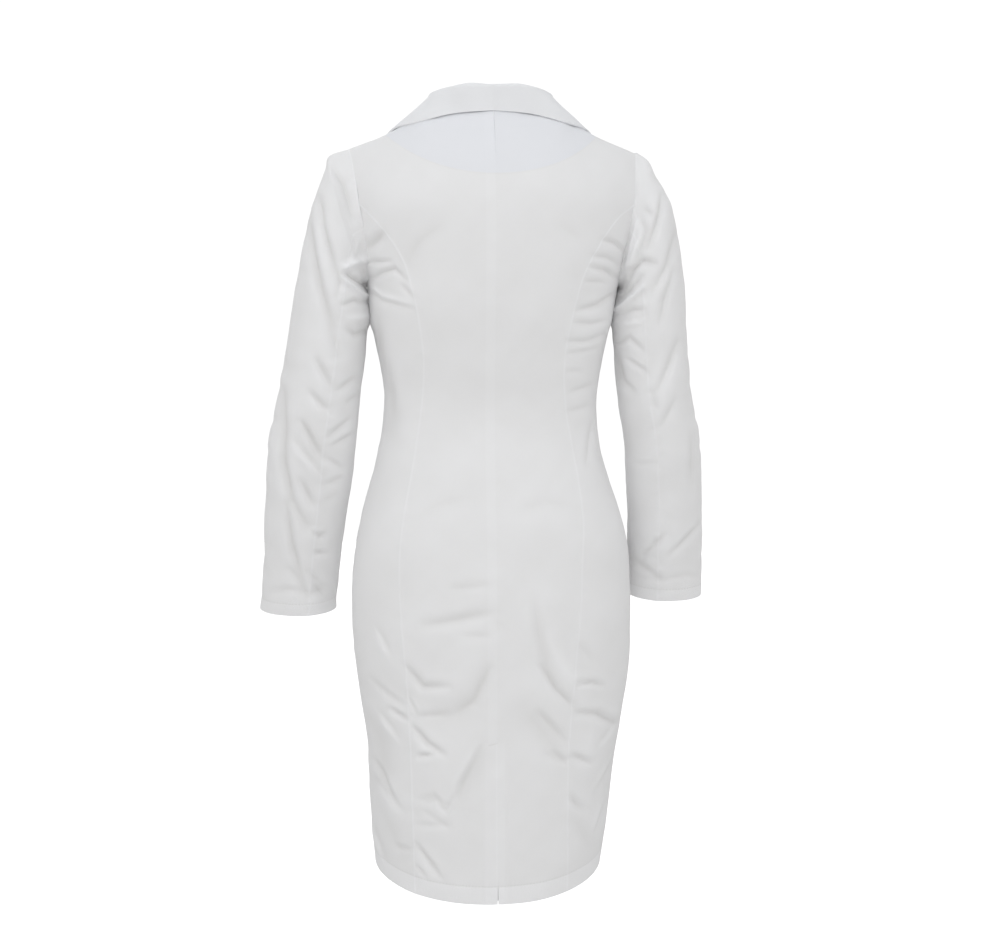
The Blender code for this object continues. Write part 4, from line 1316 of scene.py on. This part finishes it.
@dataclass(frozen=True)
class BodyRelief:
    """Relief of the body's panels on one face: creases, puckers and soft unevenness."""

    face: Face
    soft: tuple[Ripple, ...] = (Ripple(0.0007, 0.15, 3), Ripple(0.00025, 0.05, 5))
    pucker: Ripple = Ripple(0.00035, 0.026, 21, across=0.3)
    hem_wave: Ripple = Ripple(0.0003, 0.05, 8, along=0.2)
    pucker_width: float = 0.012
    hem_line: Spot = (0.024, 0.010)
    side_quiet: Spot = (0.004, 0.025)
    sleeve_bulge: Spot = (0.0016, 0.030)
    collar_bulge: Spot = (0.0015, 0.012)
    collar_edge: Spot = (0.009, 1.45)
    collar_end: Spot = (0.105, 0.020)
    vent_layers: float = 0.0004
    strip: Spot = (-0.013, 0.021)
    strip_edge: float = 0.004
    bar_end: Spot = (0.019, 0.28)
    slit: Spot = (0.0003, 0.0020)
    slit_top: Spot = (-0.952, 0.016)

    def heights(self, points: Grid, seam: Grid, hem: Grid) -> Grid:
        """Works out the relief.

        Args:
            points: The panel's plain points.
            seam: Distance to the nearest sewn edge.
            hem: Distance to the hem.

        Returns:
            How far each point stands out.
        """
        x, y, z = points[..., 0], points[..., 1], points[..., 2]
        table = BACK_CREASES if self.face is Face.BACK else FRONT_CREASES
        height = creases_height(table, x, z) * ease((np.abs(y) - self.side_quiet[0]) / self.side_quiet[1])
        height += sum(ripple.at(x, z) for ripple in self.soft)
        height += self.pucker.at(x, z) * bell(seam, self.pucker_width)
        height += self.hem_wave.at(x, z) * bell(hem - self.hem_line[0], self.hem_line[1])
        height += self.sleeve_bulge[0] * bell(y, self.sleeve_bulge[1]) * touch(z)
        return height + self.back(x, z) if self.face is Face.BACK else height

    def back(self, x: Grid, z: Grid) -> Grid:
        """Relief under the collar's edge and round the vent.

        Args:
            x: Distance from the centre line.
            z: Height.

        Returns:
            How far each point stands out.
        """
        under_collar = bell(z - self.collar_edge[0] + self.collar_edge[1] * x * x, self.collar_bulge[1])
        under_collar = under_collar * ease((self.collar_end[0] - np.abs(x)) / self.collar_end[1])
        strip = ease((self.strip[1] - x) / self.strip_edge) * ease((x - self.strip[0]) / self.strip_edge)
        bar = VENT_TOP - 0.001 - self.bar_end[1] * (self.bar_end[0] - x)
        strip = strip * ease((bar - z) / self.strip_edge)
        slit = ease((self.slit_top[0] - z) / self.slit_top[1]) * bell(x, self.slit[1])
        return self.collar_bulge[0] * under_collar + self.vent_layers * strip - self.slit[0] * slit


@dataclass(frozen=True)
class SleeveRelief:
    """Relief of one sleeve: creases, puckers and soft unevenness."""

    arm: ArmForm
    seed: int
    head: float = -0.04
    bend: float = 0.8
    inner_band: Spot = (0.022, 0.020)
    pucker_width: float = 0.009
    cuff_line: Spot = (0.016, 0.014)
    edge_quiet: float = 0.016
    outer_band: Spot = (0.014, 0.022)
    outer_reach: float = 0.040
    head_quiet: Spot = (-0.040, 0.035)
    touch_lift: float = 0.0030

    def heights(self, points: Grid, seam: Grid, hem: Grid) -> Grid:
        """Works out the relief.

        Args:
            points: The sleeve's plain points.
            seam: Distance to the nearest sewn edge.
            hem: Distance to the cuff's edge.

        Returns:
            How far each point stands out.
        """
        x, y, z = points[..., 0], points[..., 1], points[..., 2]
        side, arm, seed = self.arm.side, self.arm, self.seed
        share = np.clip((z - self.head) / (arm.sections[-1][1] - self.head), 0.0, 1.0)
        behind = y - arm.size(4, share**self.bend)
        back, front = (creases_height(SLEEVE_CREASES[(side, face)], x, z) for face in Face)
        outer = creases_height(OUTER_CREASES, y, z)
        outer = outer * (side.value * x > arm.size(0, share) - self.outer_reach)
        height = np.where(behind > 0.0, back, front) * ease(np.abs(behind) / self.edge_quiet)
        height += outer * (1.0 - ease((np.abs(behind) - self.outer_band[0]) / self.outer_band[1]))
        height += Ripple(0.0009, 0.11, 31 + seed).at(x, z) + Ripple(0.0003, 0.04, 37 + seed).at(x, z)
        pucker = Ripple(0.0006, 0.018, 41 + seed, across=0.3)
        height += pucker.at(x, z) * bell(seam, self.pucker_width)
        cuff = Ripple(0.0007, 0.045, 47 + seed, along=0.3)
        height += cuff.at(x, z) * bell(hem - self.cuff_line[0], self.cuff_line[1])
        height = height * ease((self.head_quiet[0] - z) / self.head_quiet[1])
        inner = side.value * x < arm.size(2, share) + self.inner_band[1]
        inner = bell(behind, self.inner_band[0]) * inner
        return height + self.touch_lift * inner * touch(z)


@dataclass(frozen=True)
class Vent:
    """The vent: its slightly open edges, and the layer under it."""

    gape: float = 0.0004
    gape_top: Spot = (-0.958, 0.022)
    gape_width: float = 0.014
    edges: Spot = (-0.014, 0.020)
    hem_clear: float = 0.004
    inset: float = 0.0030

    def opened(self, place: Placer, side: Side, across: Grid, along: Grid) -> Grid:
        """Places a back panel with the vent's edge opened a little towards the hem.

        Args:
            place: Places the plain panel.
            side: Side of the dress.
            across: Share from the centre to the princess seam.
            along: Share up from the hem.

        Returns:
            The points, with x, y and z last.
        """
        points = place(across, along)
        gape = self.gape * ease((self.gape_top[0] - points[..., 2]) / self.gape_top[1])
        points[..., 0] += side.value * gape * bell(points[..., 0], self.gape_width)
        return points

    def underlap(self, across: Grid, along: Grid) -> Grid:
        """Places the layer under the vent.

        Args:
            across: Share from its right edge to its left edge.
            along: Share up from the hem.

        Returns:
            The points, with x, y and z last.
        """
        height = mix(BODY.hem + self.hem_clear, VENT_TOP, along)
        turn = BODY.turn_at(Side.LEFT, mix(*self.edges, across), height)
        drop, lift = BODY.dip(Face.BACK, turn, height), np.full(np.shape(across), -self.inset)
        return BODY.point(Side.LEFT, Face.BACK, turn, height - drop, lift)

    def relief(self, points: Grid, seam: Grid, hem: Grid) -> Grid:
        """Plain relief of the layer under the vent."""
        return 0.0 * seam


@dataclass(frozen=True)
class Trim:
    """The collar and the lapels."""

    cloth: bpy.types.Material
    soft: Ripple = Ripple(0.0006, 0.07, 61)

    def relief(self, points: Grid, seam: Grid, hem: Grid) -> Grid:
        """Soft unevenness of the collar and lapels."""
        return self.soft.at(points[..., 0], points[..., 2])

    def make(self) -> None:
        """Builds the collar and both lapels."""
        form = CollarForm(BODY)
        turned_at = form.stand + form.roll
        stand, roll = np.linspace(0.0, form.stand, 7), np.linspace(form.stand, turned_at, 13)[1:]
        fall = turned_at + (1.0 - turned_at) * stations(22, 0.05, start=False)[1:]
        Cloth("collar", form.place, np.concatenate([stand, roll, fall]), stations(150, 0.50),
              outward, self.relief, self.cloth, sewn=(0.0, None, None, None), hem=False,
              thickness=0.0024, rim=0.0008).build()
        for side in Side:
            Cloth(f"lapel_{side.word}", LapelForm(side, BODY).place, stations(26, 0.08), stations(52, 0.20),
                  outward, self.relief, self.cloth, sewn=(None, None, None, None), hem=False,
                  thickness=0.0022, rim=0.0007).build()


class Tailor:
    """Cuts and places every piece of cloth."""

    def __init__(self) -> None:
        """Makes the finishes that the pieces share."""
        self.body_cloth = Suiting("suiting_body", back=BackLayers()).make()
        self.sleeve_cloth = Suiting("suiting_sleeve", stitch_height=0.017, hem_light=0.13).make()
        # The collar and lapels are a lighter, cooler copy of the suiting: partly for their double layer,
        # partly painted cool light
        self.trim_cloth = Suiting("suiting_collar", (0.946, 0.954, 0.974), (0.770, 0.773, 0.780),
                                  stitch_height=0.9).make()

    def body(self) -> None:
        """Builds the eight panels of the body, with finer grids on the back."""
        length = BODY.seam_top - BODY.hem
        for side in Side:
            for face in Face:
                fine = face is Face.BACK
                rows, columns, side_columns = (300, 58, 48) if fine else (200, 40, 24)
                centre = partial(BODY.centre_panel, side, face)
                if fine:
                    centre = partial(Vent().opened, centre, side)
                relief = BodyRelief(face).heights
                lower, upper = stations(rows, length, end=False), stations(32, 0.12, start=False)
                Cloth(f"{face.word}_{side.word}", centre, stations(columns, 0.13),
                      np.concatenate([lower, 1.0 + upper[1:]]), outward, relief, self.body_cloth,
                      sewn=(0.0034 if fine else None, 0.0, None, None)).build()
                Cloth(f"side_{face.word}_{side.word}", partial(BODY.side_panel, side, face),
                      stations(side_columns, 0.085), stations(rows, length, bias=0.3), outward, relief,
                      self.body_cloth).build()

    def sleeves(self) -> None:
        """Builds the upper and under piece of each sleeve."""
        for seed, arm in enumerate(ARMS.values(), start=1):
            relief, rows = SleeveRelief(arm, seed).heights, stations(250, 0.60, bias=0.45)
            upper, under = ("upper", arm.upper, stations(84, 0.21)), ("under", arm.under, stations(56, 0.085))
            for word, place, columns in (upper, under):
                Cloth(f"sleeve_{word}_{arm.side.word}", place, columns, rows, arm.from_axis, relief,
                      self.sleeve_cloth, swell=0.0007).build()

    def make(self) -> None:
        """Cuts everything."""
        self.body()
        self.sleeves()
        Trim(self.trim_cloth).make()
        vent = Vent()
        Cloth("vent_underlap", vent.underlap, stations(8, 0.034), stations(44, 0.20), outward, vent.relief,
              self.body_cloth, sewn=(None, None, None, None)).build()


@dataclass(frozen=True)
class Button:
    """A moulded button with a rim, four holes drawn as dark discs of painted shade, and its thread."""

    number: int
    height: float
    finishes: tuple[bpy.types.Material, ...]
    sides: int = 40
    spread: float = 0.0017
    hole_radius: float = 0.00085
    hole_depth: float = 0.00012
    hole_place: float = 0.00112
    hole_sides: int = 14
    thread_radius: float = 0.00042
    thread_spare: float = 0.0008
    thread_place: float = 0.00135
    thread_sides: int = 10
    step: float = 0.004
    # radius, height
    profile: tuple[Spot, ...] = (
        (0.0, 0.0011), (0.0044, 0.0011), (0.0060, 0.0012), (0.0069, 0.0016), (0.0078, 0.0022),
        (0.0087, 0.0023), (0.0095, 0.0018), (0.0100, 0.0008), (0.0098, -0.0003), (0.0090, -0.0011),
        (0.0, -0.0012),
    )

    def run(self, step_x: float, step_z: float) -> Grid:
        """Run of the overlap's cloth past the button."""
        x, z = np.zeros(1), np.full(1, self.height)
        return BODY.point_at(Side.RIGHT, Face.FRONT, x + step_x, z + step_z) - BODY.point_at(
            Side.RIGHT, Face.FRONT, x - step_x, z - step_z)

    def pose(self) -> Matrix:
        """Works out the button's place and turn.

        Returns:
            The matrix that lays it on the overlap, in its node's place.
        """
        low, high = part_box(f"button_{self.number}")
        normal = Vector(np.cross(self.run(self.step, 0.0), self.run(0.0, self.step))[0]).normalized()
        if normal.y > 0.0:
            normal.negate()
        turn = normal.to_track_quat("Z", "Y").to_matrix().to_4x4()
        return Matrix.Translation((Vector(low) + Vector(high)) / 2.0) @ turn

    @staticmethod
    def add_rod(disc: bmesh.types.BMesh, place: Matrix, radius: float, length: float, sides: int,
                finish: int) -> None:
        """Adds a small round rod.

        Args:
            disc: The button's mesh.
            place: The rod's place and turn.
            radius: Its radius.
            length: Its length.
            sides: Its number of sides.
            finish: Index of its finish.
        """
        made = bmesh.ops.create_cone(disc, cap_ends=True, segments=sides, radius1=radius, radius2=radius,
                                     depth=length, matrix=place)
        for corner in made["verts"]:
            for face in corner.link_faces:
                face.material_index = finish

    def build(self) -> None:
        """Builds the button and hands it to the frame."""
        disc = bmesh.new()
        ring = [disc.verts.new((radius, 0.0, height)) for radius, height in self.profile]
        edges = [disc.edges.new(pair) for pair in zip(ring[:-1], ring[1:])]
        bmesh.ops.spin(disc, geom=ring + edges, axis=(0, 0, 1), cent=(0, 0, 0), angle=2.0 * math.pi,
                       steps=self.sides, use_merge=True)
        bmesh.ops.remove_doubles(disc, verts=disc.verts, dist=0.00001)
        bmesh.ops.recalc_face_normals(disc, faces=disc.faces)
        # Each hole is a thin dark disc on the button's face: painted shade where the hole is
        for x, y in ((1, 1), (1, -1), (-1, 1), (-1, -1)):
            place = Matrix.Translation((x * self.spread, y * self.spread, self.hole_place))
            self.add_rod(disc, place, self.hole_radius, self.hole_depth, self.hole_sides, 1)
        for x in (1, -1):
            place = Matrix.Translation((x * self.spread, 0.0, self.thread_place))
            place = place @ Matrix.Rotation(math.pi / 2.0, 4, "X")
            length = 2.0 * self.spread + self.thread_spare
            self.add_rod(disc, place, self.thread_radius, length, self.thread_sides, 2)
        disc.transform(self.pose())
        name = f"moulded_button_{self.number}"
        mesh = bpy.data.meshes.new(name)
        disc.to_mesh(mesh)
        disc.free()
        mesh.shade_smooth()
        mesh.set_sharp_from_angle(angle=math.radians(50.0))
        for finish in self.finishes:
            mesh.materials.append(finish)
        hand_over(add_object(name, mesh), f"button_{self.number}")
        LOG.info("%s", name)


@dataclass(frozen=True)
class ButtonRow:
    """The row of buttons down the front."""

    count: int = 5
    top: float = -0.312
    pitch: float = 0.105

    def make(self) -> None:
        """Builds the buttons."""
        # The second finish is near-black: painted shade for the buttons' holes
        finishes = (ButtonPlastic().make(), Thread("button_hole", (0.16, 0.15, 0.14)).make(),
                    Thread("button_thread", (0.74, 0.73, 0.71)).make())
        for index in range(self.count):
            Button(index + 1, self.top - self.pitch * index, finishes).build()


@dataclass(frozen=True)
class Lamp:
    """A large soft light that faces the dress."""

    name: str
    place: tuple[float, float, float]
    size: float
    watts: float
    colour: Colour = (1.0, 1.0, 1.0)
    target: tuple[float, float, float] = (0.0, 0.0, -0.45)

    def make(self) -> None:
        """Adds the light."""
        data = bpy.data.lights.new(self.name, "AREA")
        data.size, data.energy, data.color = self.size, self.watts, self.colour
        aim(bpy.data.objects.new(self.name, data), self.place, self.target)


class Studio:
    """Camera, light and floor."""

    camera_place, camera_aim = (0.1207, 1.8954, -0.206), (-0.0118, 0.0, -0.456)
    lens, sensor = 52.2, 36.0
    sky_slope, sky_level, backdrop = 0.08, 0.675, 1.05
    floor_height, floor_size, floor_glow = -1.6, 6.0, 0.55
    lamps = (
        Lamp("back", (0.1, 2.4, 0.0), 1.4, 7.1), Lamp("key", (1.7, 1.45, 0.9), 1.0, 6.1),
        Lamp("fill", (-1.9, 1.6, 0.5), 1.2, 3.9), Lamp("top", (0.0, 0.5, 1.7), 1.2, 2.8, (0.78, 0.87, 1.0)),
        Lamp("front", (0.5, -2.3, 0.7), 1.4, 10.0),
    )

    def camera(self) -> None:
        """Adds the camera at the photograph's place and angle."""
        data = bpy.data.cameras.new("camera")
        data.lens, data.sensor_width = self.lens, self.sensor
        camera = bpy.data.objects.new("camera", data)
        aim(camera, self.camera_place, self.camera_aim)
        bpy.context.scene.camera = camera

    def world(self) -> None:
        """Makes the surroundings pale, and pure white behind the dress."""
        world = bpy.data.worlds.new("studio")
        bpy.context.scene.world = world
        world.use_nodes = True
        nodes, links = world.node_tree.nodes, world.node_tree.links
        path, place = nodes.new("ShaderNodeLightPath"), nodes.new("ShaderNodeTexCoord")
        split, sky = nodes.new("ShaderNodeSeparateXYZ"), nodes.new("ShaderNodeMath")
        sky.operation = "MULTIPLY_ADD"
        sky.inputs[1].default_value, sky.inputs[2].default_value = self.sky_slope, self.sky_level
        links.new(place.outputs["Generated"], split.inputs[0])
        links.new(split.outputs["Z"], sky.inputs[0])
        amount = nodes.new("ShaderNodeMix")
        links.new(sky.outputs[0], amount.inputs["A"])
        amount.inputs["B"].default_value = self.backdrop
        links.new(path.outputs["Is Camera Ray"], amount.inputs["Factor"])
        links.new(amount.outputs["Result"], nodes["Background"].inputs["Strength"])
        nodes["Background"].inputs["Color"].default_value = (1.0, 1.0, 1.0, 1.0)

    def floor(self) -> None:
        """Lays a plain pale floor well below the hem."""
        ground = bmesh.new()
        place = Matrix.Translation((0.0, 0.0, self.floor_height))
        bmesh.ops.create_grid(ground, x_segments=1, y_segments=1, size=self.floor_size, matrix=place)
        mesh = bpy.data.meshes.new("floor")
        ground.to_mesh(mesh)
        ground.free()
        finish = Finish("floor", (0.95, 0.95, 0.95), 0.9)
        finish.set("Emission Color", (1.0, 1.0, 1.0, 1.0))
        finish.set("Emission Strength", self.floor_glow)
        mesh.materials.append(finish.material)
        floor = add_object("floor", mesh)
        floor.visible_diffuse = False
        floor.visible_glossy = False

    def make(self) -> None:
        """Sets the studio up."""
        self.camera()
        self.world()
        self.floor()
        for lamp in self.lamps:
            lamp.make()
        view = bpy.context.scene.view_settings
        view.view_transform = "Standard"
        view.look = "None"


def main() -> None:
    """Builds the dress and its studio."""
    logging.basicConfig(level=logging.INFO, format="%(name)s %(message)s")
    Studio().make()
    Tailor().make()
    ButtonRow().make()


if __name__ == "__main__":
    main()
